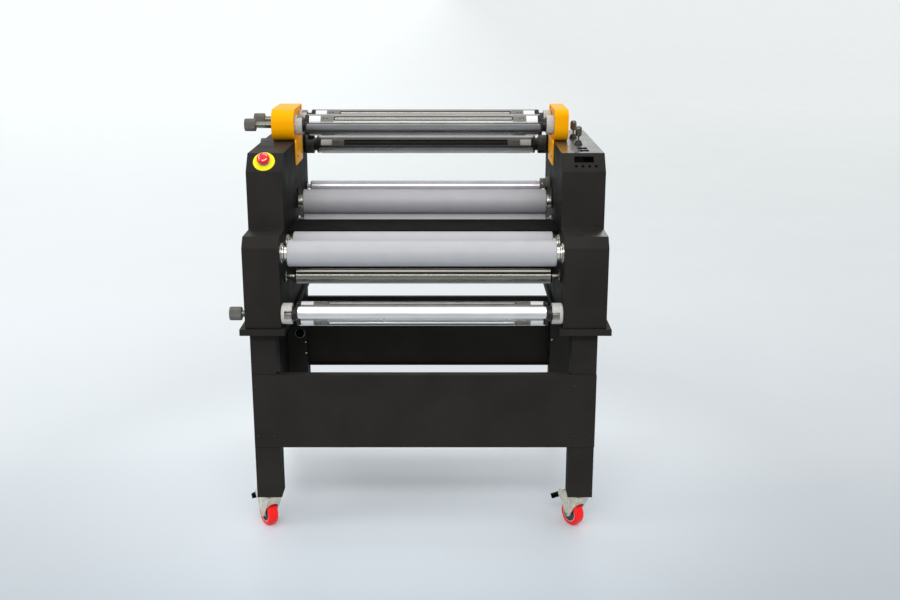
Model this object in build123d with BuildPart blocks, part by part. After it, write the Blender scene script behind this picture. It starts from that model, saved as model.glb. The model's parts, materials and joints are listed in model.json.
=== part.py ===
from build123d import *

import math
import os

# Cold roll laminator, floor standing, for rolls of film and vinyl up to 650 mm wide.
# Millimetres. +Z up, +X to the operator's right, the operator stands at -Y.
# The origin is on the floor, under the middle of the machine's bounding box.

os.makedirs("parts", exist_ok=True)

# ---- driving dimensions -------------------------------------------------------------
FACE_LENGTH = 690.0          # rubber-covered length of the four rollers
MID_X = 8.0                  # middle of the rollers
WALL_GAP = 716.0             # clear width between the two side plates
LEFT_WALL = MID_X - WALL_GAP / 2
RIGHT_WALL = MID_X + WALL_GAP / 2
LEFT_OUTER = -443.0          # outer face of the left cabinet
RIGHT_OUTER = 477.0          # the right cabinet is deeper, it holds the drive
FRONT = -368.0               # front plane of the lower cabinets

SHEET = 1.5                  # cabinet sheet
PLATE = 8.0                  # side plates
RUN = 0.05                   # radial clearance of a shaft in its bore

LEG_BOTTOM = 98.0
RAIL_TOP = 574.0
RAIL_HEIGHT = 17.0
LIP_LOW = 784.0              # where the lower cabinet's sloping lip starts
LEDGE = 809.5
PANEL_LOW = 959.0            # sloping control panel, low and high edge
CABINET_TOP = 1001.5
LIP_DEPTH = 22.0
UPPER_SET_BACK = 112.0
PANEL_HIGH_DEPTH = 151.0
CABINET_DEPTH = 639.0

ROLLER_R = 33.2
CORE_R = 25.0
JOURNAL_R = 10.0
SHOULDER_R = 15.0
END_GAP = (WALL_GAP - FACE_LENGTH) / 2

# roller name: (depth behind the front plane, height)
FRONT_ROLLER = (41.8, 762.0)
SECOND_ROLLER = (158.5, 760.0)
LOWER_MAIN = (391.0, 765.0)
UPPER_MAIN = (391.0, 832.0)
LOWER_IDLER = (95.0, 689.0)
REAR_IDLER = (600.0, 839.0)
LOWER_IDLER_R = 19.5
LOWER_IDLER_X = (MID_X - 331.0, MID_X + 335.0)
REAR_IDLER_R = 18.0
REAR_IDLER_X = (MID_X - 345.0, MID_X + 344.0)

LIFT = 20.0                  # how far the upper roller opens

TEETH = 32
PINION_TEETH = 16
GEAR_PITCH = UPPER_MAIN[1] - LOWER_MAIN[1]
MODULE = GEAR_PITCH / TEETH
GEAR_X = RIGHT_WALL + PLATE + 10.0
GEAR_WIDTH = 12.0
PINION_ANGLE = -67.5         # direction of the pinion from the lower gear, degrees

SPINDLE_R = 6.0
HUB_R = 27.0
NECK_R = 19.0
KNOB_R = 17.5
KNOB_SLEEVE_R = 9.0

# gripper shaft: (depth behind the front plane, height)
SHAFTS = {
    "supply_shaft_front": (405.0, 1044.0),
    "supply_shaft_rear": (514.0, 1047.0),
    "rewind_shaft": (600.0, 965.0),
    "lower_supply_shaft": (15.0, 611.0),
}
# gripper shaft: body radius, its left and right end from the rollers' middle, hub length
SHAFT_BODIES = {
    "supply_shaft_front": (29.5, -330.0, 325.0, 24.0),
    "supply_shaft_rear": (29.0, -324.0, 324.0, 24.0),
    "rewind_shaft": (27.0, -321.0, 321.0, 27.0),
    "lower_supply_shaft": (31.5, -319.0, 319.0, 28.0),
}
# tension knob: (tip from the rollers' middle, length of the head)
KNOBS = {
    "supply_shaft_front": (-499.0, 34.0),
    "supply_shaft_rear": (-490.0, 32.0),
    "rewind_shaft": (-488.0, 30.0),
    "lower_supply_shaft": (-490.0, 30.0),
}

LEG_X = 66.0
LEG_Y = 60.0
LEG_WALL = 3.0
LEG_FOOT = 5.0
LEFT_LEG_X = MID_X - 410.7
RIGHT_LEG_X = MID_X + 417.3
FRONT_LEG = 50.0             # depth of the front legs' middle
REAR_LEG = 675.0
RAIL_FRONT = -6.0
RAIL_REAR = 705.0
LEFT_RAIL_X = (MID_X - 465.0, MID_X - 349.0)
RIGHT_RAIL_X = (MID_X + 349.0, MID_X + 482.0)

WHEEL_R = 33.0
WHEEL_WIDTH = 28.0
TRAIL = 22.0
SWIVEL = 34.0                # how far the casters are turned, degrees
AXLE_R = 4.0
KINGPIN_R = 6.0


def at(depth):
    """A Y coordinate from a depth behind the cabinets' front plane."""
    return FRONT + depth


def save(builder, name):
    """Label a finished piece and write its file."""
    builder.part.label = name
    export_step(builder.part, f"parts/{name}.step")
    return builder.part


def across(x, depth, height):
    """A plane facing +X with its origin on an axis that runs across the machine."""
    return Plane(origin=(x, at(depth), height), x_dir=(0, 1, 0), z_dir=(1, 0, 0))


def rod(x_low, x_high, place, radius, mode=Mode.ADD):
    """A round bar along X between two X values."""
    with BuildSketch(across(x_low, *place)) as disc:
        Circle(radius)
    extrude(disc.sketch, amount=x_high - x_low, mode=mode)


def block(x, y, z, mode=Mode.ADD):
    """A block from its three (low, high) spans."""
    with BuildSketch(Plane.XY.offset(z[0])) as base:
        with Locations(((x[0] + x[1]) / 2, (y[0] + y[1]) / 2)):
            Rectangle(x[1] - x[0], y[1] - y[0])
    extrude(base.sketch, amount=z[1] - z[0], mode=mode)


def post(place, z, radius, mode=Mode.ADD):
    """A round bar along Z at an (x, y) place."""
    with BuildSketch(Plane.XY.offset(z[0])) as disc:
        with Locations(place):
            Circle(radius)
    extrude(disc.sketch, amount=z[1] - z[0], mode=mode)


# ---- stand --------------------------------------------------------------------------
def stand_side(name, leg_x, rail_x):
    """A base rail folded like a tray, with two square legs welded under it."""
    y = (at(RAIL_FRONT), at(RAIL_REAR))
    rail_bottom = RAIL_TOP - RAIL_HEIGHT
    with BuildPart() as side:
        block(rail_x, y, (rail_bottom, RAIL_TOP))
        tray_x = (rail_x[0] + LEG_WALL, rail_x[1] - LEG_WALL)
        tray_y = (y[0] + LEG_WALL, y[1] - LEG_WALL)
        block(tray_x, tray_y, (rail_bottom, RAIL_TOP - LEG_WALL), Mode.SUBTRACT)
        for depth in (FRONT_LEG, REAR_LEG):
            middle = at(depth)
            leg_span_x = (leg_x - LEG_X / 2, leg_x + LEG_X / 2)
            leg_span_y = (middle - LEG_Y / 2, middle + LEG_Y / 2)
            block(leg_span_x, leg_span_y, (LEG_BOTTOM, RAIL_TOP - LEG_WALL))
            hollow_x = (leg_span_x[0] + LEG_WALL, leg_span_x[1] - LEG_WALL)
            hollow_y = (leg_span_y[0] + LEG_WALL, leg_span_y[1] - LEG_WALL)
            block(hollow_x, hollow_y, (LEG_BOTTOM + LEG_FOOT, RAIL_TOP - LEG_WALL), Mode.SUBTRACT)
            post((leg_x, middle), (LEG_BOTTOM, LEG_BOTTOM + LEG_FOOT), KINGPIN_R + RUN, Mode.SUBTRACT)
    return save(side, name)


FRONT_PANEL_X = (MID_X - 441.0, MID_X + 451.0)
FRONT_PANEL_Z = (243.0, 444.0)
FRONT_PANEL_SHEET = 3.0
FRONT_FLANGE = 22.0
REAR_PANEL_Z = (250.0, 476.0)
REAR_PANEL_BACK = 692.0
REAR_LIP = 16.0
FOLD = 2.0                   # sheet of the folded edges


def front_panel():
    """A folded sheet on the front of the front legs, with flanges between them."""
    low, high = FRONT_PANEL_Z
    face = at(FRONT_LEG) - LEG_Y / 2
    inner = (LEFT_LEG_X + LEG_X / 2, RIGHT_LEG_X - LEG_X / 2)
    flange_y = (face, face + FRONT_FLANGE)
    with BuildPart() as panel:
        block(FRONT_PANEL_X, (face - FRONT_PANEL_SHEET, face), FRONT_PANEL_Z)
        block(inner, flange_y, (high - FOLD, high))
        block(inner, flange_y, (low, low + FOLD))
    return save(panel, "front_panel")


def rear_panel():
    """A folded sheet between the rear legs."""
    left = LEFT_LEG_X + LEG_X / 2
    right = RIGHT_LEG_X - LEG_X / 2
    low, high = REAR_PANEL_Z
    back = at(REAR_PANEL_BACK)
    lip_y = (back - REAR_LIP, back)
    with BuildPart() as panel:
        block((left, right), (back - FOLD, back), REAR_PANEL_Z)
        for height in (low, high - FOLD):
            block((left, right), lip_y, (height, height + FOLD))
        for edge in (left, right - FOLD):
            block((edge, edge + FOLD), lip_y, REAR_PANEL_Z)
    return save(panel, "rear_panel")


# ---- cabinets -----------------------------------------------------------------------
def cabinet_face():
    """The outline shared by the side plates and the cabinet covers."""
    with BuildLine() as outline:
        Polyline(
            (at(0), RAIL_TOP),
            (at(0), LIP_LOW),
            (at(LIP_DEPTH), LEDGE),
            (at(UPPER_SET_BACK), LEDGE),
            (at(UPPER_SET_BACK), PANEL_LOW),
            (at(PANEL_HIGH_DEPTH), CABINET_TOP),
            (at(CABINET_DEPTH), CABINET_TOP),
            (at(CABINET_DEPTH), RAIL_TOP),
            close=True,
        )
    make_face(outline.line)


BEARING_R = 20.0
IDLER_BEARING_R = 12.0
SLOT_HALF = 16.0
SLOT_LOW = 815.0
BLOCK_HALF = 15.8
BLOCK_LOW = 816.0
BLOCK_HIGH = 848.0
SLOT_SPARE = 2.0             # room above the lifted block


def side_plate(name, wall, outward):
    """The thick plate that carries the bearings of one side."""
    x = sorted((wall, wall + outward * PLATE))
    with BuildPart() as plate:
        with BuildSketch(Plane.YZ.offset(x[0])):
            cabinet_face()
            offset(amount=-SHEET)
        extrude(amount=PLATE)
        for place in (FRONT_ROLLER, SECOND_ROLLER, LOWER_MAIN):
            rod(x[0], x[1], place, BEARING_R, Mode.SUBTRACT)
        for place in (LOWER_IDLER, REAR_IDLER):
            rod(x[0], x[1], place, IDLER_BEARING_R, Mode.SUBTRACT)
        for shaft in ("rewind_shaft", "lower_supply_shaft"):
            rod(x[0], x[1], SHAFTS[shaft], SPINDLE_R + RUN, Mode.SUBTRACT)
        middle = at(UPPER_MAIN[0])
        slot_high = BLOCK_HIGH + LIFT + SLOT_SPARE
        block(x, (middle - SLOT_HALF, middle + SLOT_HALF), (SLOT_LOW, slot_high), Mode.SUBTRACT)
    return save(plate, name)


PANEL_LENGTH = math.hypot(PANEL_HIGH_DEPTH - UPPER_SET_BACK, CABINET_TOP - PANEL_LOW)
PANEL_TILT = math.atan2(CABINET_TOP - PANEL_LOW, PANEL_HIGH_DEPTH - UPPER_SET_BACK)


def panel_plane(x, along, out=0.0):
    """A plane on the sloping panel: x across, along up the slope, out along its normal."""
    normal = (0, -math.sin(PANEL_TILT), math.cos(PANEL_TILT))
    y = at(UPPER_SET_BACK) + along * math.cos(PANEL_TILT) + out * normal[1]
    z = PANEL_LOW + along * math.sin(PANEL_TILT) + out * normal[2]
    return Plane(origin=(x, y, z), x_dir=(1, 0, 0), z_dir=normal)


STOP_X = MID_X - 406
STOP_ALONG = 0.51 * PANEL_LENGTH
STOP_STEM_R = 8.0
DISPLAY_X = MID_X + 414.7
DISPLAY_ALONG = 0.65 * PANEL_LENGTH
DISPLAY = (50.0, 18.5)
KEY_XS = [MID_X + 393.7 + 17.0 * index for index in range(4)]
KEY_ALONG = 0.29 * PANEL_LENGTH
KEY_R = 3.5
KEY_HOLE_R = 3.8
ROCKER_X = MID_X + 421
ROCKER_DEPTHS = (192.0, 237.0)
ROCKER = (20.0, 11.0)
BEZEL = (25.0, 15.5)
LEVER_X = MID_X + 418.5
LEVER_DEPTHS = (313.0, 450.0)
LEVER_HOLE_R = 7.0
SLEEVE_HOLE_R = 11.0
INLET_X = RIGHT_OUTER - 55.0
INLET_Z = 640.0
INLET = (28.0, 21.0)
INLET_FLANGE = (38.0, 26.0)
INLET_SOCKET = (22.0, 16.0)
CUT_DEPTH = 6.0              # length of a cutter through the sloping panel
STEM_ROOM = 3.0              # gap round the stop button's stem in the sheet
BEZEL_LAP = 1.5              # how far a rocker frame covers the edge of its opening


def cover_shell(outer, wall, outward):
    """The folded shell of one cabinet, open towards its side plate."""
    x = sorted((outer, wall))
    inside = sorted((outer - outward * SHEET, wall))
    with BuildSketch(Plane.YZ.offset(x[0])) as outside:
        cabinet_face()
    extrude(outside.sketch, amount=x[1] - x[0])
    with BuildSketch(Plane.YZ.offset(inside[0])) as hollow:
        cabinet_face()
        offset(amount=-SHEET)
    extrude(hollow.sketch, amount=inside[1] - inside[0], mode=Mode.SUBTRACT)


def left_cover():
    """Left cabinet cover: shaft holes at the side, a hole for the stop button."""
    with BuildPart() as cover:
        cover_shell(LEFT_OUTER, LEFT_WALL, -1)
        for shaft in ("rewind_shaft", "lower_supply_shaft"):
            place = SHAFTS[shaft]
            rod(LEFT_OUTER, LEFT_OUTER + SHEET, place, SLEEVE_HOLE_R, Mode.SUBTRACT)
        with BuildSketch(panel_plane(STOP_X, STOP_ALONG, -CUT_DEPTH / 2)):
            Circle(STOP_STEM_R + STEM_ROOM)
        extrude(amount=CUT_DEPTH, mode=Mode.SUBTRACT)
    return save(cover, "left_cover")


def right_cover():
    """Right cabinet cover: openings for the display, keys, rockers, levers and inlet."""
    top = CABINET_TOP - SHEET
    with BuildPart() as cover:
        cover_shell(RIGHT_OUTER, RIGHT_WALL, 1)
        with BuildSketch(panel_plane(DISPLAY_X, DISPLAY_ALONG, -CUT_DEPTH / 2)):
            Rectangle(*DISPLAY)
        extrude(amount=CUT_DEPTH, mode=Mode.SUBTRACT)
        for x in KEY_XS:
            with BuildSketch(panel_plane(x, KEY_ALONG, -CUT_DEPTH / 2)):
                Circle(KEY_HOLE_R)
            extrude(amount=CUT_DEPTH, mode=Mode.SUBTRACT)
        for depth in ROCKER_DEPTHS:
            half_x = BEZEL[0] / 2 - BEZEL_LAP
            half_y = BEZEL[1] / 2 - BEZEL_LAP
            span_x = (ROCKER_X - half_x, ROCKER_X + half_x)
            span_y = (at(depth) - half_y, at(depth) + half_y)
            block(span_x, span_y, (top, CABINET_TOP), Mode.SUBTRACT)
        for depth in LEVER_DEPTHS:
            post((LEVER_X, at(depth)), (top, CABINET_TOP), LEVER_HOLE_R, Mode.SUBTRACT)
        inlet_x = (INLET_X - INLET[0] / 2, INLET_X + INLET[0] / 2)
        inlet_z = (INLET_Z - INLET[1] / 2, INLET_Z + INLET[1] / 2)
        block(inlet_x, (at(CABINET_DEPTH) - SHEET, at(CABINET_DEPTH)), inlet_z, Mode.SUBTRACT)
    return save(cover, "right_cover")


TABLE_DEPTHS = (196.0, 342.0)
TABLE_TOP = 790.0
TABLE_LIPS = (12.0, 20.0)    # depth of the front and the rear lip
TABLE_RIB_DEPTHS = (225.0, 300.0)
TABLE_RIB = (20.0, 12.0)
TIE_DEPTHS = (408.0, 438.0)
TIE_Z = (602.0, 662.0)
TIE_WALL = 3.0


def feed_table():
    """The black table between the second roller and the nip."""
    front, back = at(TABLE_DEPTHS[0]), at(TABLE_DEPTHS[1])
    x = (LEFT_WALL, RIGHT_WALL)
    with BuildPart() as table:
        block(x, (front, back), (TABLE_TOP - FOLD, TABLE_TOP))
        block(x, (front, front + FOLD), (TABLE_TOP - TABLE_LIPS[0], TABLE_TOP))
        block(x, (back - FOLD, back), (TABLE_TOP - TABLE_LIPS[1], TABLE_TOP))
        for depth in TABLE_RIB_DEPTHS:
            rib_y = (at(depth), at(depth) + TABLE_RIB[0])
            block(x, rib_y, (TABLE_TOP - FOLD - TABLE_RIB[1], TABLE_TOP - FOLD))
    return save(table, "feed_table")


def crossmember():
    """A rectangular tube that ties the two side plates together under the nip."""
    x = (LEFT_WALL, RIGHT_WALL)
    y = (at(TIE_DEPTHS[0]), at(TIE_DEPTHS[1]))
    hollow_y = (y[0] + TIE_WALL, y[1] - TIE_WALL)
    hollow_z = (TIE_Z[0] + TIE_WALL, TIE_Z[1] - TIE_WALL)
    with BuildPart() as tie:
        block(x, y, TIE_Z)
        block(x, hollow_y, hollow_z, Mode.SUBTRACT)
    return save(tie, "crossmember")


# ---- yellow shaft brackets ----------------------------------------------------------
BRACKET_FRONT = 362.0
BRACKET_REAR = 548.0
BRACKET_TOP = 1089.0
BRACKET_ROUND = 40.0
BRACKET_WALL = 4.0
LEFT_BRACKET_WIDTH = 62.0
RIGHT_BRACKET_WIDTH = 38.0
TONGUE_DEPTHS = (372.0, 512.0)
TONGUE_LOW = 936.0
SLEEVE_ROOM = 1.0            # gap round a knob's sleeve


def bracket_face():
    """Square at the back, rounded under at the front."""
    low = CABINET_TOP
    with BuildLine() as outline:
        Polyline(
            (at(BRACKET_FRONT), low + BRACKET_ROUND),
            (at(BRACKET_FRONT), BRACKET_TOP),
            (at(BRACKET_REAR), BRACKET_TOP),
            (at(BRACKET_REAR), low),
            (at(BRACKET_FRONT) + BRACKET_ROUND, low),
        )
        RadiusArc(
            (at(BRACKET_FRONT) + BRACKET_ROUND, low),
            (at(BRACKET_FRONT), low + BRACKET_ROUND),
            BRACKET_ROUND,
        )
    make_face(outline.line)


def shaft_bracket(name, wall, outward, width):
    """A box that holds the two upper shafts, with a tongue down the side plate."""
    x = sorted((wall, wall + outward * width))
    recess = sorted((wall, wall + outward * BRACKET_WALL))
    with BuildPart() as bracket:
        with BuildSketch(Plane.YZ.offset(x[0])):
            bracket_face()
        extrude(amount=width)
        with BuildSketch(Plane.YZ.offset(recess[0])):
            bracket_face()
            offset(amount=-BRACKET_WALL)
        extrude(amount=BRACKET_WALL, mode=Mode.SUBTRACT)
        hollow_x = sorted((wall + outward * 2 * BRACKET_WALL, wall + outward * (width - BRACKET_WALL)))
        hollow_y = (at(BRACKET_FRONT) + BRACKET_ROUND + 2, at(BRACKET_REAR) - BRACKET_WALL)
        block(hollow_x, hollow_y, (CABINET_TOP, BRACKET_TOP - BRACKET_WALL), Mode.SUBTRACT)
        tongue_x = sorted((wall, wall - outward * BRACKET_WALL))
        tongue_y = (at(TONGUE_DEPTHS[0]), at(TONGUE_DEPTHS[1]))
        block(tongue_x, tongue_y, (TONGUE_LOW, CABINET_TOP + BRACKET_WALL))
        for shaft in ("supply_shaft_front", "supply_shaft_rear"):
            rod(x[0], x[1], SHAFTS[shaft], SPINDLE_R + RUN, Mode.SUBTRACT)
            if outward < 0:
                outer_wall = (x[0], x[0] + 2 * BRACKET_WALL)
                rod(*outer_wall, SHAFTS[shaft], KNOB_SLEEVE_R + SLEEVE_ROOM, Mode.SUBTRACT)
    return save(bracket, name)


# ---- bearings and rollers -----------------------------------------------------------
FLANGE = 4.0                 # thickness of a bearing flange
FLANGE_LAP = 6.0             # how far it laps the plate round its housing
IDLER_FLANGE_LAP = 4.0
HOUSING_TAIL = 4.0           # how far a housing stands out behind its plate
BORE_SPARE = 5.0             # extra cutter length at each end of a bore
CLAMP_DEPTHS = (455.0, 479.0)
CLAMP_Z = (862.0, 887.0)
CLAMP_REACH = 14.0           # the clamp's first step out of the wall
JAW_DEPTHS = (459.0, 475.0)
JAW_Z = (856.0, 884.0)
JAW_REACH = 30.0
SLEEVE_CHAMFER = 0.8
SHOULDER_REACH = 8.0
IDLER_CHAMFER = 4.0
SPINDLE_TAIL = 2.0


def bearing_units():
    """Flanged bearing housings in the side plates, and the stepped clamp on the right one."""
    with BuildPart() as units:
        for wall, outward in ((LEFT_WALL, -1), (RIGHT_WALL, 1)):
            flange = sorted((wall, wall - outward * FLANGE))
            body = sorted((wall, wall + outward * (PLATE + HOUSING_TAIL)))
            bore = (body[0] - BORE_SPARE, body[1] + BORE_SPARE)
            for place in (FRONT_ROLLER, SECOND_ROLLER, LOWER_MAIN):
                rod(*flange, place, BEARING_R + FLANGE_LAP)
                rod(*body, place, BEARING_R)
                rod(*bore, place, JOURNAL_R + RUN, Mode.SUBTRACT)
            for place in (LOWER_IDLER, REAR_IDLER):
                rod(*flange, place, IDLER_BEARING_R + IDLER_FLANGE_LAP)
                rod(*body, place, IDLER_BEARING_R)
                rod(*bore, place, SPINDLE_R + RUN, Mode.SUBTRACT)
        clamp_x = (RIGHT_WALL - CLAMP_REACH, RIGHT_WALL)
        jaw_x = (RIGHT_WALL - JAW_REACH, RIGHT_WALL - CLAMP_REACH)
        block(clamp_x, (at(CLAMP_DEPTHS[0]), at(CLAMP_DEPTHS[1])), CLAMP_Z)
        block(jaw_x, (at(JAW_DEPTHS[0]), at(JAW_DEPTHS[1])), JAW_Z)
    return save(units, "bearing_units")


def roller_sleeve(name, place):
    """The soft cover of one roller."""
    x = (MID_X - FACE_LENGTH / 2, MID_X + FACE_LENGTH / 2)
    with BuildPart() as sleeve:
        rod(*x, place, ROLLER_R)
        rod(*x, place, CORE_R, Mode.SUBTRACT)
        chamfer(sleeve.edges().filter_by(GeomType.CIRCLE).group_by(SortBy.RADIUS)[-1], SLEEVE_CHAMFER)
    return save(sleeve, name)


def roller_core(name, place, left_reach, right_reach):
    """A steel core with a shoulder and a journal at each end."""
    x = (MID_X - FACE_LENGTH / 2, MID_X + FACE_LENGTH / 2)
    with BuildPart() as core:
        rod(*x, place, CORE_R)
        rod(x[0] - SHOULDER_REACH, x[1] + SHOULDER_REACH, place, SHOULDER_R)
        rod(x[0] - left_reach, x[1] + right_reach, place, JOURNAL_R)
    return save(core, name)


def idler(name, place, radius, x):
    """A polished steel idler with chamfered ends on two journals."""
    tail = PLATE + SPINDLE_TAIL
    with BuildPart() as roller:
        rod(*x, place, radius)
        chamfer(roller.edges().filter_by(GeomType.CIRCLE), IDLER_CHAMFER)
        rod(LEFT_WALL - tail, RIGHT_WALL + tail, place, SPINDLE_R)
    return save(roller, name)


# ---- roller lift --------------------------------------------------------------------
CYLINDER_OFFSET = 14.0
CYLINDER_R = 12.5
CYLINDER_DEPTH = 332.0
CYLINDER_TOP = 800.0
CYLINDER_LENGTH = 100.0
CYLINDER_BORE = 60.0         # depth of the rod's bore
LIFT_ROD_R = 4.0
LIFT_ROD_DIP = 55.0          # length of rod inside its cylinder at rest
FOOT_Z = (CYLINDER_TOP - 90.0, CYLINDER_TOP - 70.0)
FOOT_HALF = 10.0
BLOCK_PROUD = 4.0            # how far a sliding block stands out of the wall
ARM_THICK = 6.0
ARM_HEIGHT = 14.0
BOSS_HALF = 12.0
BOSS_HEIGHT = 12.0
BOSS_REACH = 26.0


def lift_carriage():
    """Two sliding bearing blocks with arms, each arm standing on a lifting rod."""
    with BuildPart() as carriage:
        for wall, outward in ((LEFT_WALL, -1), (RIGHT_WALL, 1)):
            middle = at(UPPER_MAIN[0])
            cylinder_y = at(CYLINDER_DEPTH)
            face = wall + outward * PLATE
            block_x = sorted((wall - outward * BLOCK_PROUD, face + outward * ARM_THICK))
            block(block_x, (middle - BLOCK_HALF, middle + BLOCK_HALF), (BLOCK_LOW, BLOCK_HIGH))
            arm_x = sorted((face + outward, face + outward * ARM_THICK))
            arm_y = (cylinder_y - BOSS_HALF, middle + BLOCK_HALF)
            block(arm_x, arm_y, (BLOCK_HIGH - ARM_HEIGHT, BLOCK_HIGH))
            boss_x = sorted((face + outward, face + outward * BOSS_REACH))
            boss_y = (cylinder_y - BOSS_HALF, cylinder_y + BOSS_HALF)
            block(boss_x, boss_y, (BLOCK_HIGH - BOSS_HEIGHT, BLOCK_HIGH))
            rod_x = face + outward * CYLINDER_OFFSET
            rod_z = (CYLINDER_TOP - LIFT_ROD_DIP, BLOCK_HIGH - BOSS_HEIGHT)
            post((rod_x, cylinder_y), rod_z, LIFT_ROD_R)
            bore = (block_x[0] - BORE_SPARE, block_x[1] + BORE_SPARE)
            rod(*bore, UPPER_MAIN, JOURNAL_R + RUN, Mode.SUBTRACT)
    return save(carriage, "lift_carriage")


def lift_cylinders():
    """The two lifting cylinders, each on a foot bolted to its side plate."""
    with BuildPart() as cylinders:
        for wall, outward in ((LEFT_WALL, -1), (RIGHT_WALL, 1)):
            face = wall + outward * PLATE
            centre = (face + outward * CYLINDER_OFFSET, at(CYLINDER_DEPTH))
            post(centre, (CYLINDER_TOP - CYLINDER_LENGTH, CYLINDER_TOP), CYLINDER_R)
            foot_x = sorted((face, centre[0]))
            foot_y = (centre[1] - FOOT_HALF, centre[1] + FOOT_HALF)
            block(foot_x, foot_y, FOOT_Z)
            bore_z = (CYLINDER_TOP - CYLINDER_BORE, CYLINDER_TOP)
            post(centre, bore_z, LIFT_ROD_R + RUN, Mode.SUBTRACT)
    return save(cylinders, "lift_cylinders")


# ---- drive --------------------------------------------------------------------------
BACKLASH = 0.45
PRESSURE_ANGLE = 20.0
DEDENDUM = 1.25              # in modules
ADDENDUM = 0.9
PINION_SHAFT = (-3.0, GEAR_WIDTH + 18.0)     # its ends past the gear's near face
MOTOR_HALF = 40.0
MOTOR_FLANGE = 28.0
MOTOR_CORNER = 6.0
MOTOR_WAIST = 4.0            # how much smaller the round body is
MOTOR_GAP = 2.0
MOTOR_BORE = 18.0
SPACER_REACH = 34.0
SPACER_R = 5.0


def gear(name, teeth, place, turned, bore_r):
    """A spur gear with straight-sided teeth, on an axis along X."""
    pitch_r = MODULE * teeth / 2
    root_r = pitch_r - DEDENDUM * MODULE
    tip_r = pitch_r + ADDENDUM * MODULE
    half = (math.pi * MODULE / 2 - BACKLASH) / 2
    slope = math.tan(math.radians(PRESSURE_ANGLE))
    half_root = half + (pitch_r - root_r) * slope
    half_tip = half - (tip_r - pitch_r) * slope
    with BuildPart() as wheel:
        with BuildSketch(across(GEAR_X, *place)):
            Circle(root_r)
            with PolarLocations(0, teeth, start_angle=turned):
                tooth = [
                    (root_r - 1, -half_root),
                    (tip_r, -half_tip),
                    (tip_r, half_tip),
                    (root_r - 1, half_root),
                ]
                Polygon(*tooth, align=None)
            if bore_r:
                Circle(bore_r, mode=Mode.SUBTRACT)
        extrude(amount=GEAR_WIDTH)
        if not bore_r:
            rod(GEAR_X + PINION_SHAFT[0], GEAR_X + PINION_SHAFT[1], place, SPINDLE_R)
    return save(wheel, name)


PINION_DISTANCE = MODULE * (TEETH + PINION_TEETH) / 2
PINION = (
    LOWER_MAIN[0] + PINION_DISTANCE * math.cos(math.radians(PINION_ANGLE)),
    LOWER_MAIN[1] + PINION_DISTANCE * math.sin(math.radians(PINION_ANGLE)),
)


def drive_motor():
    """The geared motor, held off the right side plate by three spacers."""
    start = GEAR_X + GEAR_WIDTH + MOTOR_GAP
    end = RIGHT_OUTER - SHEET - 2 * MOTOR_GAP
    face = RIGHT_WALL + PLATE
    with BuildPart() as motor:
        with BuildSketch(across(start, *PINION)):
            RectangleRounded(2 * MOTOR_HALF, 2 * MOTOR_HALF, MOTOR_CORNER)
        extrude(amount=MOTOR_FLANGE)
        rod(start + MOTOR_FLANGE, end, PINION, MOTOR_HALF - MOTOR_WAIST)
        for side_y, side_z in ((-1, -1), (1, -1), (1, 1)):
            spacer = (PINION[0] + side_y * SPACER_REACH, PINION[1] + side_z * SPACER_REACH)
            rod(face, start, spacer, SPACER_R)
        rod(start, start + MOTOR_BORE, PINION, SPINDLE_R + RUN, Mode.SUBTRACT)
    return save(motor, "drive_motor")


# ---- gripper shafts -----------------------------------------------------------------
GROOVES = 6
GROOVE_WIDTH = 6.0
GROOVE_DEPTH = 2.5
GROOVE_START = 60.0          # degrees
HUB_GAP = 0.5                # between a hub and the wall behind it
SPINDLE_DIP = 12.0           # length of spindle inside the knob's head
SPINDLE_OVER = 6.0           # how far it passes the right side plate
KNOB_CHAMFER = 1.2
KNOB_BORE = 14.0             # depth of the bore inside the head
BRACKET_SLEEVE_END = 58.0    # from the left wall to the end of an upper knob's sleeve
SLEEVE_INSIDE = 4.0          # how far a lower knob's sleeve passes the cover's sheet


def gripper_shaft(name, place):
    """A fluted shaft body, its two hubs and the spindle that carries them."""
    radius, left, right, hub = SHAFT_BODIES[name]
    inner_face = BRACKET_WALL if place[1] > CABINET_TOP else 0.0
    hub_left = LEFT_WALL - inner_face + HUB_GAP
    hub_right = RIGHT_WALL + inner_face - HUB_GAP
    body = (MID_X + left, MID_X + right)
    spindle_end = MID_X + sum(KNOBS[name]) - SPINDLE_DIP
    with BuildPart() as shaft:
        with BuildSketch(across(body[0], *place)):
            Circle(radius)
            with PolarLocations(radius, GROOVES, start_angle=GROOVE_START):
                Rectangle(2 * GROOVE_DEPTH, GROOVE_WIDTH, mode=Mode.SUBTRACT)
        extrude(amount=body[1] - body[0])
        rod(hub_left, hub_left + hub, place, HUB_R)
        rod(hub_right - hub, hub_right, place, HUB_R)
        rod(hub_left + hub, body[0], place, NECK_R)
        rod(body[1], hub_right - hub, place, NECK_R)
        rod(spindle_end, RIGHT_WALL + PLATE + SPINDLE_OVER, place, SPINDLE_R)
    return save(shaft, name)


def tension_knob(shaft, place):
    """The knob that sets a shaft's brake, turning round the end of its spindle."""
    tip_from_middle, length = KNOBS[shaft]
    tip = MID_X + tip_from_middle
    sleeve_end = LEFT_OUTER + SHEET + SLEEVE_INSIDE
    if place[1] > CABINET_TOP:
        sleeve_end = LEFT_WALL - BRACKET_SLEEVE_END
    with BuildPart() as knob:
        rod(tip, tip + length, place, KNOB_R)
        chamfer(knob.edges().filter_by(GeomType.CIRCLE), KNOB_CHAMFER)
        rod(tip + length - KNOB_CHAMFER, sleeve_end, place, KNOB_SLEEVE_R)
        rod(tip + length - KNOB_BORE, sleeve_end, place, SPINDLE_R + RUN, Mode.SUBTRACT)
    return save(knob, shaft.replace("shaft", "knob"))


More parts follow.
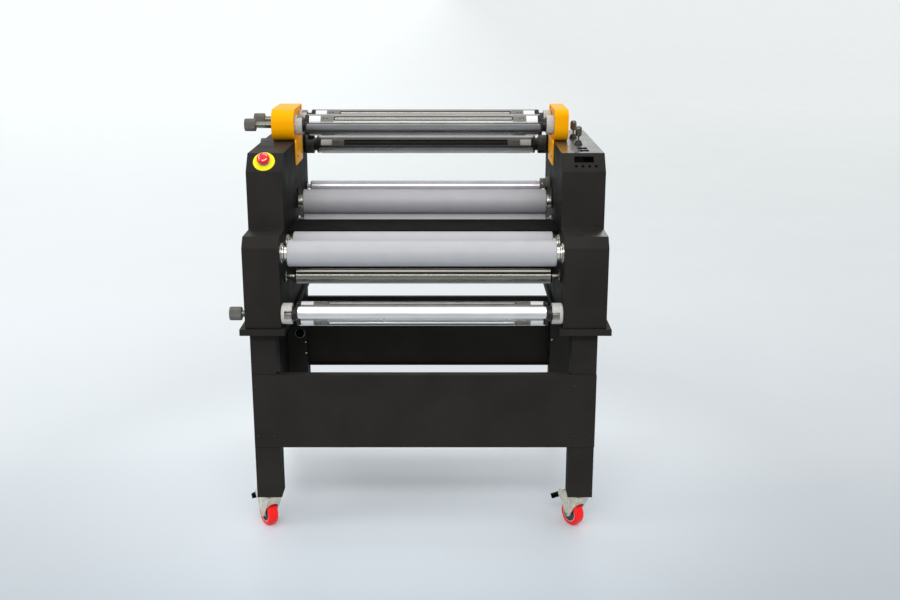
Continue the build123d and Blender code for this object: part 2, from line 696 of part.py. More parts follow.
# ---- controls -----------------------------------------------------------------------
STOP_TRAVEL = 5.0
STOP_DISC = (28.0, 2.5)      # radius, thickness
STOP_COLLAR = (12.5, 3.5)
STOP_HEAD = (16.5, 12.0)
STOP_HEAD_ROUND = 4.0
STOP_HEAD_GAP = 0.5
STOP_BODY = 22.0             # length of the switch body behind the sheet
STOP_BORE = 16.0
STOP_BORE_GAP = 0.3
STOP_DIP = 8.0               # length of stem behind the sheet
DISPLAY_OUT = (-2.5, 0.5)
BEZEL_HEIGHT = 1.2
ROCKER_BODY = 14.0
ROCKER_POCKET = 10.0
ROCKER_GAP = 0.4
COLLAR_R = (13.0, 8.5)
COLLAR_HEIGHT = 11.0
INLET_DEPTHS = (22.0, 16.0)  # housing, socket
INLET_FLANGE_OUT = 2.0
KEY_OUT = (-6.0, 2.0)
KEY_CHAMFER = 0.5
ROCKER_EDGE = (1.0, 2.6)
ROCKER_DISH = 1.6
ROCKER_KEEL = 5.0
LEVER_STEM_R = 3.0
LEVER_STEM = (-2.0, 26.0)
LEVER_HEAD_R = 9.0
LEVER_HEAD = (22.0, 50.0)
LEVER_CHAMFER = 2.0


def panel_disc(x, along, out, radius, mode=Mode.ADD):
    """A round piece square to the sloping panel, between two distances from it."""
    with BuildSketch(panel_plane(x, along, out[0])) as disc:
        Circle(radius)
    extrude(disc.sketch, amount=out[1] - out[0], mode=mode)


def stop_base():
    """The yellow disc and grey collar under the stop button."""
    disc_out = STOP_DISC[1]
    collar_out = disc_out + STOP_COLLAR[1]
    bore_r = STOP_STEM_R + STOP_BORE_GAP
    with BuildPart() as base:
        panel_disc(STOP_X, STOP_ALONG, (0, disc_out), STOP_DISC[0])
        panel_disc(STOP_X, STOP_ALONG, (disc_out, collar_out), STOP_COLLAR[0])
        panel_disc(STOP_X, STOP_ALONG, (-STOP_BODY, 0), STOP_STEM_R + STEM_ROOM)
        panel_disc(STOP_X, STOP_ALONG, (-STOP_BORE, collar_out), bore_r, Mode.SUBTRACT)
    return save(base, "e_stop_base")


def stop_button():
    """The red mushroom on its stem, standing above the collar by its travel."""
    low = STOP_DISC[1] + STOP_COLLAR[1] + STOP_TRAVEL + STOP_HEAD_GAP
    with BuildPart() as button:
        panel_disc(STOP_X, STOP_ALONG, (low, low + STOP_HEAD[1]), STOP_HEAD[0])
        fillet(button.edges().filter_by(GeomType.CIRCLE), STOP_HEAD_ROUND)
        panel_disc(STOP_X, STOP_ALONG, (-STOP_DIP, low + 1), STOP_STEM_R)
    return save(button, "e_stop_button")


def pad(place, size, z, mode=Mode.ADD):
    """A rectangular block centred at an (x, y) place."""
    x = (place[0] - size[0] / 2, place[0] + size[0] / 2)
    y = (place[1] - size[1] / 2, place[1] + size[1] / 2)
    block(x, y, z, mode)


def inlet_block(size, y, mode=Mode.ADD):
    """A block of the power inlet, given its width and height."""
    x = (INLET_X - size[0] / 2, INLET_X + size[0] / 2)
    z = (INLET_Z - size[1] / 2, INLET_Z + size[1] / 2)
    block(x, y, z, mode)


def control_bezels():
    """Display window, rocker frames, lever collars and the power inlet."""
    with BuildPart() as trims:
        with BuildSketch(panel_plane(DISPLAY_X, DISPLAY_ALONG, DISPLAY_OUT[0])):
            Rectangle(*DISPLAY)
        extrude(amount=DISPLAY_OUT[1] - DISPLAY_OUT[0])
        bezel_top = CABINET_TOP + BEZEL_HEIGHT
        inner_bezel = (BEZEL[0] - 2 * BEZEL_LAP, BEZEL[1] - 2 * BEZEL_LAP)
        pocket = (ROCKER[0] + 2 * ROCKER_GAP, ROCKER[1] + 2 * ROCKER_GAP)
        for depth in ROCKER_DEPTHS:
            place = (ROCKER_X, at(depth))
            pad(place, BEZEL, (CABINET_TOP, bezel_top))
            pad(place, inner_bezel, (CABINET_TOP - ROCKER_BODY, CABINET_TOP))
            pad(place, pocket, (CABINET_TOP - ROCKER_POCKET, bezel_top), Mode.SUBTRACT)
        collar_top = CABINET_TOP + COLLAR_HEIGHT
        for depth in LEVER_DEPTHS:
            place = (LEVER_X, at(depth))
            with BuildSketch(Plane.XY.offset(CABINET_TOP)):
                with Locations(place):
                    Circle(COLLAR_R[0])
            with BuildSketch(Plane.XY.offset(collar_top)):
                with Locations(place):
                    Circle(COLLAR_R[1])
            loft()
            post(place, (CABINET_TOP, collar_top), LEVER_HOLE_R, Mode.SUBTRACT)
        back = at(CABINET_DEPTH)
        flange_y = (back, back + INLET_FLANGE_OUT)
        socket_y = (back - INLET_DEPTHS[1], back + INLET_FLANGE_OUT)
        inlet_block(INLET, (back - INLET_DEPTHS[0], back))
        inlet_block(INLET_FLANGE, flange_y)
        inlet_block(INLET_SOCKET, socket_y, Mode.SUBTRACT)
    return save(trims, "control_bezels")


def panel_key(name, x):
    """One push key of the control panel."""
    with BuildPart() as key:
        panel_disc(x, KEY_ALONG, KEY_OUT, KEY_R)
        chamfer(key.faces().sort_by(Axis.Z)[-1].edges(), KEY_CHAMFER)
    return save(key, name)


def rocker(name, depth):
    """One rocker: a shallow vee on a rounded underside."""
    y = at(depth)
    half = ROCKER[0] / 2
    with BuildPart() as switch:
        with BuildSketch(Plane.XZ.offset(-(y + ROCKER[1] / 2))):
            with BuildLine():
                Polyline(
                    (ROCKER_X - half, CABINET_TOP + ROCKER_EDGE[0]),
                    (ROCKER_X - half, CABINET_TOP + ROCKER_EDGE[1]),
                    (ROCKER_X, CABINET_TOP + ROCKER_DISH),
                    (ROCKER_X + half, CABINET_TOP + ROCKER_EDGE[1]),
                    (ROCKER_X + half, CABINET_TOP + ROCKER_EDGE[0]),
                    (ROCKER_X, CABINET_TOP - ROCKER_KEEL),
                    close=True,
                )
            make_face()
        extrude(amount=ROCKER[1])
    return save(switch, name)


def toggle_lever(name, depth):
    """A chromed toggle lever: thin stem and a barrel-shaped head."""
    place = (LEVER_X, at(depth))
    with BuildPart() as lever:
        post(place, (CABINET_TOP + LEVER_STEM[0], CABINET_TOP + LEVER_STEM[1]), LEVER_STEM_R)
        post(place, (CABINET_TOP + LEVER_HEAD[0], CABINET_TOP + LEVER_HEAD[1]), LEVER_HEAD_R)
        rims = lever.edges().filter_by(GeomType.CIRCLE).group_by(SortBy.RADIUS)[-1]
        chamfer(rims, LEVER_CHAMFER)
    return save(lever, name)


# ---- casters ------------------------------------------------------------------------
ARM_GAP = 17.0               # from the middle to a fork arm
ARM = 2.5
FORK_TOP = LEG_BOTTOM - 2.0
FORK_LID = (72.0, 2 * (ARM_GAP + ARM), 4.0)
AXLE_BOSS_R = 9.0
AXLE_OVER = 3.0              # how far the axle stands out of the arms
RACE = (20.0, 1.5)           # radius, thickness
KINGPIN_LENGTH = 18.0
HUB_OUTER_R = 24.0
HUB_RECESS = 1.5             # how far the hub's face lies behind the tread's
TREAD_CHAMFER = 3.0
PEDAL_GAP = 0.5              # between the pedal and a fork arm
# a fork arm's outline and the pedal's: distance behind the kingpin, height
ARM_OUTLINE = (
    (-22.0, FORK_TOP),
    (-20.0, FORK_TOP - 14.0),
    (TRAIL - 8.0, WHEEL_R - 2.0),
    (TRAIL + 8.0, WHEEL_R - 2.0),
    (TRAIL + 22.0, FORK_TOP - 28.0),
    (TRAIL + 38.0, FORK_TOP - 14.0),
    (TRAIL + 40.0, FORK_TOP - 4.0),
    (TRAIL + 20.0, FORK_TOP),
)
PEDAL_OUTLINE = (
    (TRAIL + 28.0, 82.0),
    (TRAIL + 30.0, 88.0),
    (TRAIL + 58.0, 82.0),
    (TRAIL + 60.0, 76.0),
    (TRAIL + 56.0, 76.0),
    (TRAIL + 32.0, 80.0),
)


def caster_frame(leg_x, depth):
    """A caster's own frame: X along its trail, Y to its side, the origin on the floor."""
    turn = math.radians(SWIVEL)
    return Plane(
        origin=(leg_x, at(depth), 0),
        x_dir=(-math.sin(turn), math.cos(turn), 0),
        z_dir=(0, 0, 1),
    )


def side_plane(frame, offset_y):
    """A plane on a caster's side: local x along its trail, local y up."""
    origin = frame.from_local_coords(Vector(0, offset_y, 0))
    return Plane(origin=origin, x_dir=frame.x_dir, z_dir=-frame.y_dir)


def caster_fork(name, frame):
    """The pressed fork with its kingpin and axle."""
    lid_base = frame.origin + Vector(0, 0, FORK_TOP - FORK_LID[2])
    axle_half = ARM_GAP + ARM + AXLE_OVER
    pin = (frame.origin.X, frame.origin.Y)
    with BuildPart() as fork:
        with BuildSketch(Plane(origin=lid_base, x_dir=frame.x_dir)):
            with Locations((TRAIL / 2, 0)):
                SlotOverall(FORK_LID[0], FORK_LID[1])
        extrude(amount=FORK_LID[2])
        for outer in (ARM_GAP + ARM, -ARM_GAP):
            with BuildSketch(side_plane(frame, outer)):
                with BuildLine():
                    Polyline(*ARM_OUTLINE, close=True)
                make_face()
                with Locations((TRAIL, WHEEL_R)):
                    Circle(AXLE_BOSS_R)
            extrude(amount=ARM)
        with BuildSketch(side_plane(frame, axle_half)):
            with Locations((TRAIL, WHEEL_R)):
                Circle(AXLE_R)
        extrude(amount=2 * axle_half)
        post(pin, (FORK_TOP, FORK_TOP + RACE[1]), RACE[0])
        post(pin, (FORK_TOP, FORK_TOP + KINGPIN_LENGTH), KINGPIN_R)
    return save(fork, name)


def caster_wheel(name, frame):
    """A grey hub inside a red tread, as two solids."""
    rings = (
        ((HUB_OUTER_R, AXLE_R + RUN), WHEEL_WIDTH - 2 * HUB_RECESS),
        ((WHEEL_R, HUB_OUTER_R), WHEEL_WIDTH),
    )
    with BuildPart() as wheel:
        for radii, width in rings:
            ring = Plane(
                origin=frame.from_local_coords(Vector(TRAIL, width / 2, WHEEL_R)),
                x_dir=frame.x_dir,
                z_dir=-frame.y_dir,
            )
            with BuildSketch(ring):
                Circle(radii[0])
                Circle(radii[1], mode=Mode.SUBTRACT)
            extrude(amount=width)
        rims = wheel.edges().filter_by(GeomType.CIRCLE).group_by(SortBy.RADIUS)[-1]
        chamfer(rims, TREAD_CHAMFER)
    return save(wheel, name)


def caster_pedal(name, frame):
    """The brake pedal behind the wheel, hinged between the fork's arms."""
    width = 2 * (ARM_GAP - PEDAL_GAP)
    with BuildPart() as pedal:
        with BuildSketch(side_plane(frame, width / 2)):
            with BuildLine():
                Polyline(*PEDAL_OUTLINE, close=True)
            make_face()
        extrude(amount=width)
    return save(pedal, name)


# ---- the machine --------------------------------------------------------------------
pieces = []
pieces.append(stand_side("left_stand_side", LEFT_LEG_X, LEFT_RAIL_X))
pieces.append(stand_side("right_stand_side", RIGHT_LEG_X, RIGHT_RAIL_X))
pieces.append(front_panel())
pieces.append(rear_panel())
pieces.append(side_plate("left_side_plate", LEFT_WALL, -1))
pieces.append(side_plate("right_side_plate", RIGHT_WALL, 1))
pieces.append(left_cover())
pieces.append(right_cover())
pieces.append(shaft_bracket("left_shaft_bracket", LEFT_WALL, -1, LEFT_BRACKET_WIDTH))
pieces.append(shaft_bracket("right_shaft_bracket", RIGHT_WALL, 1, RIGHT_BRACKET_WIDTH))
pieces.append(feed_table())
pieces.append(crossmember())
pieces.append(bearing_units())
pieces.append(lift_carriage())
pieces.append(lift_cylinders())

plain_reach = END_GAP + PLATE + HOUSING_TAIL
drive_reach = GEAR_X + GEAR_WIDTH + MOTOR_GAP - (MID_X + FACE_LENGTH / 2)
pieces.append(roller_sleeve("front_roller_sleeve", FRONT_ROLLER))
pieces.append(roller_core("front_roller_core", FRONT_ROLLER, plain_reach, plain_reach))
pieces.append(roller_sleeve("second_roller_sleeve", SECOND_ROLLER))
pieces.append(roller_core("second_roller_core", SECOND_ROLLER, plain_reach, plain_reach))
pieces.append(roller_sleeve("lower_main_sleeve", LOWER_MAIN))
pieces.append(roller_core("lower_main_core", LOWER_MAIN, plain_reach, drive_reach))
pieces.append(roller_sleeve("upper_main_sleeve", UPPER_MAIN))
pieces.append(roller_core("upper_main_core", UPPER_MAIN, plain_reach, drive_reach))
pieces.append(idler("lower_idler", LOWER_IDLER, LOWER_IDLER_R, LOWER_IDLER_X))
pieces.append(idler("rear_idler", REAR_IDLER, REAR_IDLER_R, REAR_IDLER_X))

tooth_pitch = 360 / TEETH
pinion_pitch = 360 / PINION_TEETH
pieces.append(gear("lower_roller_gear", TEETH, LOWER_MAIN, 0, JOURNAL_R))
pieces.append(gear("upper_roller_gear", TEETH, UPPER_MAIN, tooth_pitch / 2, JOURNAL_R))
pieces.append(gear("drive_pinion", PINION_TEETH, PINION, pinion_pitch / 2, 0))
pieces.append(drive_motor())

for shaft_name, shaft_place in SHAFTS.items():
    pieces.append(gripper_shaft(shaft_name, shaft_place))
    pieces.append(tension_knob(shaft_name, shaft_place))

pieces.append(stop_base())
pieces.append(stop_button())
pieces.append(control_bezels())
for number, key_x in enumerate(KEY_XS, start=1):
    pieces.append(panel_key(f"panel_key_{number}", key_x))
for side_name, rocker_depth in zip(("front", "rear"), ROCKER_DEPTHS):
    pieces.append(rocker(f"rocker_switch_{side_name}", rocker_depth))
for side_name, lever_depth in zip(("front", "rear"), LEVER_DEPTHS):
    pieces.append(toggle_lever(f"toggle_lever_{side_name}", lever_depth))

for row, leg_depth in (("front", FRONT_LEG), ("rear", REAR_LEG)):
    for side_name, leg_x in (("left", LEFT_LEG_X), ("right", RIGHT_LEG_X)):
        frame = caster_frame(leg_x, leg_depth)
        pieces.append(caster_fork(f"caster_fork_{row}_{side_name}", frame))
        pieces.append(caster_wheel(f"caster_wheel_{row}_{side_name}", frame))
        pieces.append(caster_pedal(f"caster_pedal_{row}_{side_name}", frame))

machine = Compound(children=pieces)
box = machine.bounding_box()
print("pieces", len(pieces))
print("box", box.min, box.max)
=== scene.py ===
import json
import math
from collections import namedtuple

import bmesh
import bpy
from mathutils import Matrix, Vector


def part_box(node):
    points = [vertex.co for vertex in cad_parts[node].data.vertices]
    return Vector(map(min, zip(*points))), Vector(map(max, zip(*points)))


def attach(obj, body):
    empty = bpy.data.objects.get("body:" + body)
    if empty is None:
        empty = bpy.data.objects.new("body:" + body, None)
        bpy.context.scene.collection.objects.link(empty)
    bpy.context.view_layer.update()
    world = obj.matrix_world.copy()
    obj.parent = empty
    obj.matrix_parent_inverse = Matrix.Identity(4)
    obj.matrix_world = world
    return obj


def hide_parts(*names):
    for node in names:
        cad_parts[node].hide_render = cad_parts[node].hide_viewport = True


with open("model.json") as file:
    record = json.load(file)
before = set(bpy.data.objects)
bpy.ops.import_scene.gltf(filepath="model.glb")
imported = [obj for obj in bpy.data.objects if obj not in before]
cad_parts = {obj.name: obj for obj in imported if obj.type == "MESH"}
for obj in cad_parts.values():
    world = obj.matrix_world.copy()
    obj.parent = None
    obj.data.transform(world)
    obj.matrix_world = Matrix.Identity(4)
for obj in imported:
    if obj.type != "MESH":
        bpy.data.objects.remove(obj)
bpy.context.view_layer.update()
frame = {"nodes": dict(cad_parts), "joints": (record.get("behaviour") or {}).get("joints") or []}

# Cold roll laminator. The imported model's own frame, in metres: +Z up, +X to the operator's
# right, the operator stands at -Y. Bare sizes below are millimetres; MM turns them to metres.

MM = 0.001
SHARP = math.radians(32.0)                 # edges sharper than this stay edges
JOINTS = {joint["name"]: joint for joint in frame["joints"]}
COVER_INNER_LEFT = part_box("left_cover")[1].x
COVER_INNER_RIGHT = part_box("right_cover")[0].x
WALLS = ((COVER_INNER_LEFT, -1), (COVER_INNER_RIGHT, 1))    # inner wall, outward direction
ROWS = ("front", "rear")
KEYS = [f"panel_key_{number}" for number in range(1, 5)]

CAMERA_PLACE = (0.0787, -3.153, 1.4146)
CAMERA_TILT = 74.66                        # degrees from straight down
CAMERA_LENS = 45.715
LIGHTS = {                                 # place, target, size, power
    "front_light": ((0.0, -3.4, 3.0), (0.0, 0.0, 0.8), (3.2, 0.7), 62.0),
    "top_light": ((0.0, 0.2, 3.4), (0.0, 0.0, 0.6), (2.4, 0.8), 10.0),
    "left_light": ((-3.0, -1.4, 1.8), (0.0, 0.0, 0.7), (0.8, 1.6), 10.0),
}
HORIZON_COLOUR = (0.46, 0.47, 0.49, 1.0)
SKY_COLOUR = (1.04, 1.06, 1.06, 1.0)
FLOOR_RADIUS, FLOOR_DEPTH = 240.0, 0.02    # metres


# ---- camera, light and floor --------------------------------------------------------
def make_camera():
    """A camera in front of the machine, a little above it and looking down."""
    data = bpy.data.cameras.new("camera")
    data.sensor_width = 36.0
    data.lens = CAMERA_LENS
    data.clip_end = 500.0
    camera = bpy.data.objects.new("camera", data)
    camera.location = CAMERA_PLACE
    camera.rotation_euler = (math.radians(CAMERA_TILT), 0.0, 0.0)
    bpy.context.scene.collection.objects.link(camera)
    bpy.context.scene.camera = camera


def softbox(name, place, target, size, power):
    """A rectangular area light at a place, facing a target."""
    data = bpy.data.lights.new(name, "AREA")
    data.shape = "RECTANGLE"
    data.size, data.size_y = size
    data.energy = power
    lamp = bpy.data.objects.new(name, data)
    lamp.location = place
    aim = Vector(target) - Vector(place)
    lamp.rotation_euler = aim.to_track_quat("-Z", "Y").to_euler()
    bpy.context.scene.collection.objects.link(lamp)


def map_range(tree, value, source, target=(0.0, 1.0), smooth=True):
    """The value stretched from the source range to the target range."""
    node = tree.nodes.new("ShaderNodeMapRange")
    if smooth:
        node.interpolation_type = "SMOOTHSTEP"
    for side, (low, high) in (("From", source), ("To", target)):
        node.inputs[side + " Min"].default_value = low
        node.inputs[side + " Max"].default_value = high
    tree.links.new(value, node.inputs["Value"])
    return node.outputs["Result"]


def combined(tree, operation, one, two):
    """Two values put together by a math operation."""
    node = tree.nodes.new("ShaderNodeMath")
    node.operation = operation
    tree.links.new(one, node.inputs[0])
    tree.links.new(two, node.inputs[1])
    return node.outputs[0]


def make_world():
    """Pale studio surroundings: bright above and behind the machine, darker in front."""
    world = bpy.data.worlds.new("studio")
    bpy.context.scene.world = world
    world.use_nodes = True
    tree = world.node_tree
    tree.nodes.clear()
    place = tree.nodes.new("ShaderNodeTexCoord")
    split = tree.nodes.new("ShaderNodeSeparateXYZ")
    tree.links.new(place.outputs["Generated"], split.inputs[0])
    behind = map_range(tree, split.outputs["Y"], (-1.0, 0.6))
    above = map_range(tree, split.outputs["Z"], (0.0, 0.75))
    ramp = tree.nodes.new("ShaderNodeValToRGB")
    ramp.color_ramp.elements[0].color = HORIZON_COLOUR
    ramp.color_ramp.elements[1].color = SKY_COLOUR
    tree.links.new(combined(tree, "MAXIMUM", behind, above), ramp.inputs["Fac"])
    background = tree.nodes.new("ShaderNodeBackground")
    background.inputs["Strength"].default_value = 1.0
    tree.links.new(ramp.outputs["Color"], background.inputs["Color"])
    out = tree.nodes.new("ShaderNodeOutputWorld")
    tree.links.new(background.outputs["Background"], out.inputs["Surface"])


def make_floor(paint):
    """A wide pale disc with a smooth edge."""
    shape = Shape()
    rim = [(FLOOR_RADIUS, -FLOOR_DEPTH), (FLOOR_RADIUS, 0.0)]
    shape.lathe([(0.0, -FLOOR_DEPTH), *rim, (0.0, 0.0)], Matrix(), paint, 96)
    shape.as_object("floor")


# ---- mesh building ------------------------------------------------------------------
def axle_frame(x, y, z):
    """Local Z runs along the machine's X, local X faces the front, local Y faces down."""
    return Matrix(((0, 0, 1, x), (-1, 0, 0, y), (0, -1, 0, z), (0, 0, 0, 1)))


def facing_frame(origin, normal, across=(1.0, 0.0, 0.0)):
    """Local Z along a normal, local X as near as may be to a given direction."""
    z_axis = Vector(normal).normalized()
    x_axis = (Vector(across) - z_axis * z_axis.dot(Vector(across))).normalized()
    y_axis = z_axis.cross(x_axis)
    columns = Matrix((x_axis, y_axis, z_axis)).transposed().to_4x4()
    return Matrix.Translation(origin) @ columns


def mm(points):
    """Points in millimetres as points in metres."""
    return [(one * MM, two * MM) for one, two in points]


def arc_points(centre, radius, start, end, steps):
    """Points of an arc, angles in degrees, both ends included."""
    found = []
    for step in range(steps + 1):
        angle = math.radians(start + (end - start) * step / steps)
        found.append((centre[0] + radius * math.cos(angle), centre[1] + radius * math.sin(angle)))
    return found


def stadium(length, width, steps=10):
    """A slot outline along local X with round ends."""
    half = length / 2 - width / 2
    right = arc_points((half, 0.0), width / 2, -90, 90, steps)
    left = arc_points((-half, 0.0), width / 2, 90, 270, steps)
    return right + left


def rectangle(half_width, half_height):
    """A counter-clockwise rectangle about the origin."""
    right = [(half_width, -half_height), (half_width, half_height)]
    return [(-half_width, -half_height), *right, (-half_width, half_height)]


def mirrored(profile, length):
    """A profile's other half, for something of a length."""
    return [(radius, length - height) for radius, height in reversed(profile)]


def fluted(limit, depth, count):
    """Ribs for a lathe: flutes of a depth beyond a radius of limit, in millimetres."""
    def ribs(angle, reach):
        if reach < limit * MM:
            return reach
        return reach - depth * MM * (1 + math.cos(count * angle))

    return ribs


def offset_outline(points, inset):
    """A closed counter-clockwise outline moved inwards by inset, corners mitred."""
    moved = []
    count = len(points)
    for index in range(count):
        before, here = Vector(points[index - 1]), Vector(points[index])
        after = Vector(points[(index + 1) % count])
        one = (here - before).normalized()
        two = (after - here).normalized()
        normal_one, normal_two = Vector((-one.y, one.x)), Vector((-two.y, two.x))
        mitre = (normal_one + normal_two) / (1.0 + normal_one.dot(normal_two))
        moved.append(tuple(here + mitre * inset))
    return moved


def rounded_outline(points, inset, bend, steps=4):
    """The outline moved inwards by inset, its corners rounded about the bends' centres."""
    corners = offset_outline(points, inset)
    found = []
    count = len(corners)
    for index in range(count):
        before, here = Vector(corners[index - 1]), Vector(corners[index])
        after = Vector(corners[(index + 1) % count])
        one, two = (before - here).normalized(), (after - here).normalized()
        convex = (here - before).cross(after - here) > 0
        radius = max(bend - inset if convex else bend + inset, 0.1 * MM)
        half_turn = math.acos(max(-1.0, min(1.0, one.dot(two)))) / 2
        centre = here + (one + two).normalized() * radius / math.sin(half_turn)
        back = radius / math.tan(half_turn)
        start, end = here + one * back, here + two * back
        for step in range(steps + 1):
            spoke = (start - centre).slerp(end - centre, step / steps)
            found.append(tuple(centre + spoke.normalized() * radius))
    return found


class Shape:
    """A mesh under construction. Each call adds a closed solid with its own material."""

    def __init__(self):
        self.bm = bmesh.new()
        self.paints = []

    def _slot(self, paint):
        if paint not in self.paints:
            self.paints.append(paint)
        return self.paints.index(paint)

    def rings(self, rings, paint, loop=False):
        """Skin a list of rings of points. A ring of one point closes to a tip."""
        slot = self._slot(paint)
        made = [[self.bm.verts.new(point) for point in ring] for ring in rings]
        if loop:
            made.append(made[0])
        for one, two in zip(made, made[1:]):
            count = max(len(one), len(two))
            for index in range(count):
                following = (index + 1) % count
                if len(one) == 1:
                    corners = [one[0], two[following], two[index]]
                elif len(two) == 1:
                    corners = [one[index], one[following], two[0]]
                else:
                    corners = [one[index], one[following], two[following], two[index]]
                self.bm.faces.new(corners).material_index = slot
        if not loop:
            for ring, flip in ((made[0], True), (made[-1], False)):
                if len(ring) > 2:
                    corners = list(reversed(ring)) if flip else ring
                    self.bm.faces.new(corners).material_index = slot

    def lathe(self, profile, place, paint, segments=64, loop=False, ribs=None):
        """Turn (radius, height) points about the place's Z axis. ribs(angle, radius) may
        change the radius."""
        turned = []
        for radius, height in profile:
            if radius == 0.0:
                turned.append([place @ Vector((0.0, 0.0, height))])
                continue
            ring = []
            for step in range(segments):
                angle = 2 * math.pi * step / segments
                reach = ribs(angle, radius) if ribs else radius
                spot = Vector((reach * math.cos(angle), reach * math.sin(angle), height))
                ring.append(place @ spot)
            turned.append(ring)
        self.rings(turned, paint, loop)

    def prism(self, outline, place, low, high, paint, edge=0.0):
        """Extrude a counter-clockwise outline along the place's Z, with softened rims."""
        levels = [(low, 0.0), (high, 0.0)]
        if edge:
            third = edge * 0.3
            levels = [(low, edge), (low + third, third), (low + edge, 0.0)]
            levels += [(high - edge, 0.0), (high - third, third), (high, edge)]
        rings = []
        for height, inset in levels:
            points = offset_outline(outline, inset) if inset else outline
            rings.append([place @ Vector((x, y, height)) for x, y in points])
        self.rings(rings, paint)

    def block(self, low, high, paint, edge=0.0, place=None):
        """A box between two corners, with rounded edges if edge is given."""
        place = place or Matrix()
        outline = [(low[0], low[1]), (high[0], low[1]), (high[0], high[1]), (low[0], high[1])]
        if edge:
            outline = rounded_outline(outline, 0.0, edge, 3)
        self.prism(outline, place, low[2], high[2], paint, edge * 0.6)

    def turned(self, profile, place, paint, segments=64, loop=False, ribs=None):
        """Lathe a profile given in millimetres."""
        self.lathe(mm(profile), place, paint, segments, loop, ribs)

    def plate(self, outline, place, span, paint, edge=0.0):
        """A prism given in millimetres, between the two heights of a span."""
        self.prism(mm(outline), place, span[0] * MM, span[1] * MM, paint, edge * MM)

    def rims(self, levels, place, paint, loop=False):
        """Skin (outline, height) pairs, in millimetres."""
        rings = []
        for outline, height in levels:
            rings.append([place @ (Vector((x, y, height)) * MM) for x, y in outline])
        self.rings(rings, paint, loop)

    def curved_plate(self, place, span, middle, half, radii, paint, corner=0.0, edge=0.5):
        """A plate on a cylinder, in millimetres and degrees: span along the axis, inner and
        outer radius. corner rounds its four corners as seen from above."""
        inner, outer = radii
        rows = [(0.0, edge), (edge, 0.0)]
        if corner:
            rows += [(corner * share, 0.0) for share in (0.25, 0.5, 0.75, 1.0)]
        levels = [(span[0] + along, along, drop) for along, drop in rows]
        levels += [(span[1] - along, along, drop) for along, drop in reversed(rows)]
        trim = math.degrees(edge / outer)
        outlines = []
        for height, along, drop in levels:
            pull = 0.0
            if along < corner:
                pull = corner - math.sqrt(corner ** 2 - (corner - along) ** 2)
            wide = half - math.degrees(pull / outer)
            start, end = middle - wide + trim, middle + wide - trim
            outline = arc_points((0.0, 0.0), outer - drop, start, end, 10)
            for reach, side in ((outer - edge, 1), (inner, 1), (inner, -1), (outer - edge, -1)):
                angle = math.radians(middle + side * wide)
                outline.append((reach * math.cos(angle), reach * math.sin(angle)))
            outlines.append((outline, height))
        self.rims(outlines, place, paint)

    def arc_strip(self, place, start, sweep, section, paint):
        """A thin raised strip on a turned surface, between two (radius, height) points in
        millimetres."""
        (inner, inner_height), (outer, outer_height) = section
        raised, sunk, steps = 0.25, 0.4, 14
        rings = []
        for step in range(steps + 1):
            angle = math.radians(start + sweep * step / steps)
            corners = [(inner, inner_height - sunk), (outer, outer_height - sunk)]
            corners += [(outer + raised, outer_height + raised), (inner, inner_height + raised)]
            ring = []
            for radius, height in corners:
                spot = Vector((radius * math.cos(angle), radius * math.sin(angle), height))
                ring.append(place @ (spot * MM))
            rings.append(ring)
        self.rings(rings, paint)

    def screw(self, origin, normal, radius, paint, height=None):
        """A button head with a hexagon socket, sizes in millimetres."""
        across = (0, 1, 0) if abs(normal[0]) > 0.9 else (1, 0, 0)
        place = facing_frame(origin, normal, across)
        height = height or radius * 0.55

        def socket(angle, reach):
            if reach > radius * MM * 0.55:
                return reach
            folded = (angle + math.pi / 6) % (math.pi / 3) - math.pi / 6
            return reach * math.cos(math.pi / 6) / math.cos(folded)

        profile = [(0.0, -0.3 * height), (radius, -0.3 * height), (radius, 0.25 * height)]
        profile += [(radius * 0.92, 0.62 * height), (radius * 0.74, 0.92 * height)]
        profile += [(radius * 0.6, height), (radius * 0.5, height)]
        profile += [(radius * 0.48, 0.3 * height), (0.0, 0.3 * height)]
        self.turned(profile, place, paint, 24, ribs=socket)

    def as_object(self, name):
        """The finished mesh object, smooth but for its sharp edges."""
        bmesh.ops.recalc_face_normals(self.bm, faces=self.bm.faces)
        mesh = bpy.data.meshes.new(name)
        self.bm.to_mesh(mesh)
        self.bm.free()
        for paint in self.paints:
            mesh.materials.append(paint)
        mesh.shade_smooth()
        mesh.set_sharp_from_angle(angle=SHARP)
        piece = bpy.data.objects.new(name, mesh)
        bpy.context.scene.collection.objects.link(piece)
        return piece

    def piece(self, name, body, slot, *nodes):
        """Finish the mesh and put it on its body."""
        return place_piece(self.as_object(name), body, slot, *nodes)


def soften(piece, width):
    """Round a piece's sharp edges."""
    bevel = piece.modifiers.new("edges", "BEVEL")
    bevel.width = width
    bevel.segments = 3
    bevel.limit_method = "ANGLE"
    bevel.angle_limit = SHARP
    bevel.harden_normals = True
    bevel.use_clamp_overlap = False


def cut(piece, cutters):
    """Subtract the cutter objects from a piece and remove them."""
    for cutter in cutters:
        tool = piece.modifiers.new("cut", "BOOLEAN")
        tool.operation = "DIFFERENCE"
        tool.solver = "EXACT"
        tool.object = cutter
    bpy.context.view_layer.update()
    graph = bpy.context.evaluated_depsgraph_get()
    result = bpy.data.meshes.new_from_object(piece.evaluated_get(graph), depsgraph=graph)
    piece.modifiers.clear()
    piece.data = result
    result.shade_smooth()
    result.set_sharp_from_angle(angle=SHARP)
    for cutter in cutters:
        bpy.data.objects.remove(cutter)
    return piece


def place_piece(piece, body, slot, *nodes):
    """Put a finished piece on its body and hide the CAD nodes it stands for; slot is not used."""
    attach(piece, body)
    if nodes:
        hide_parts(*nodes)
    return piece


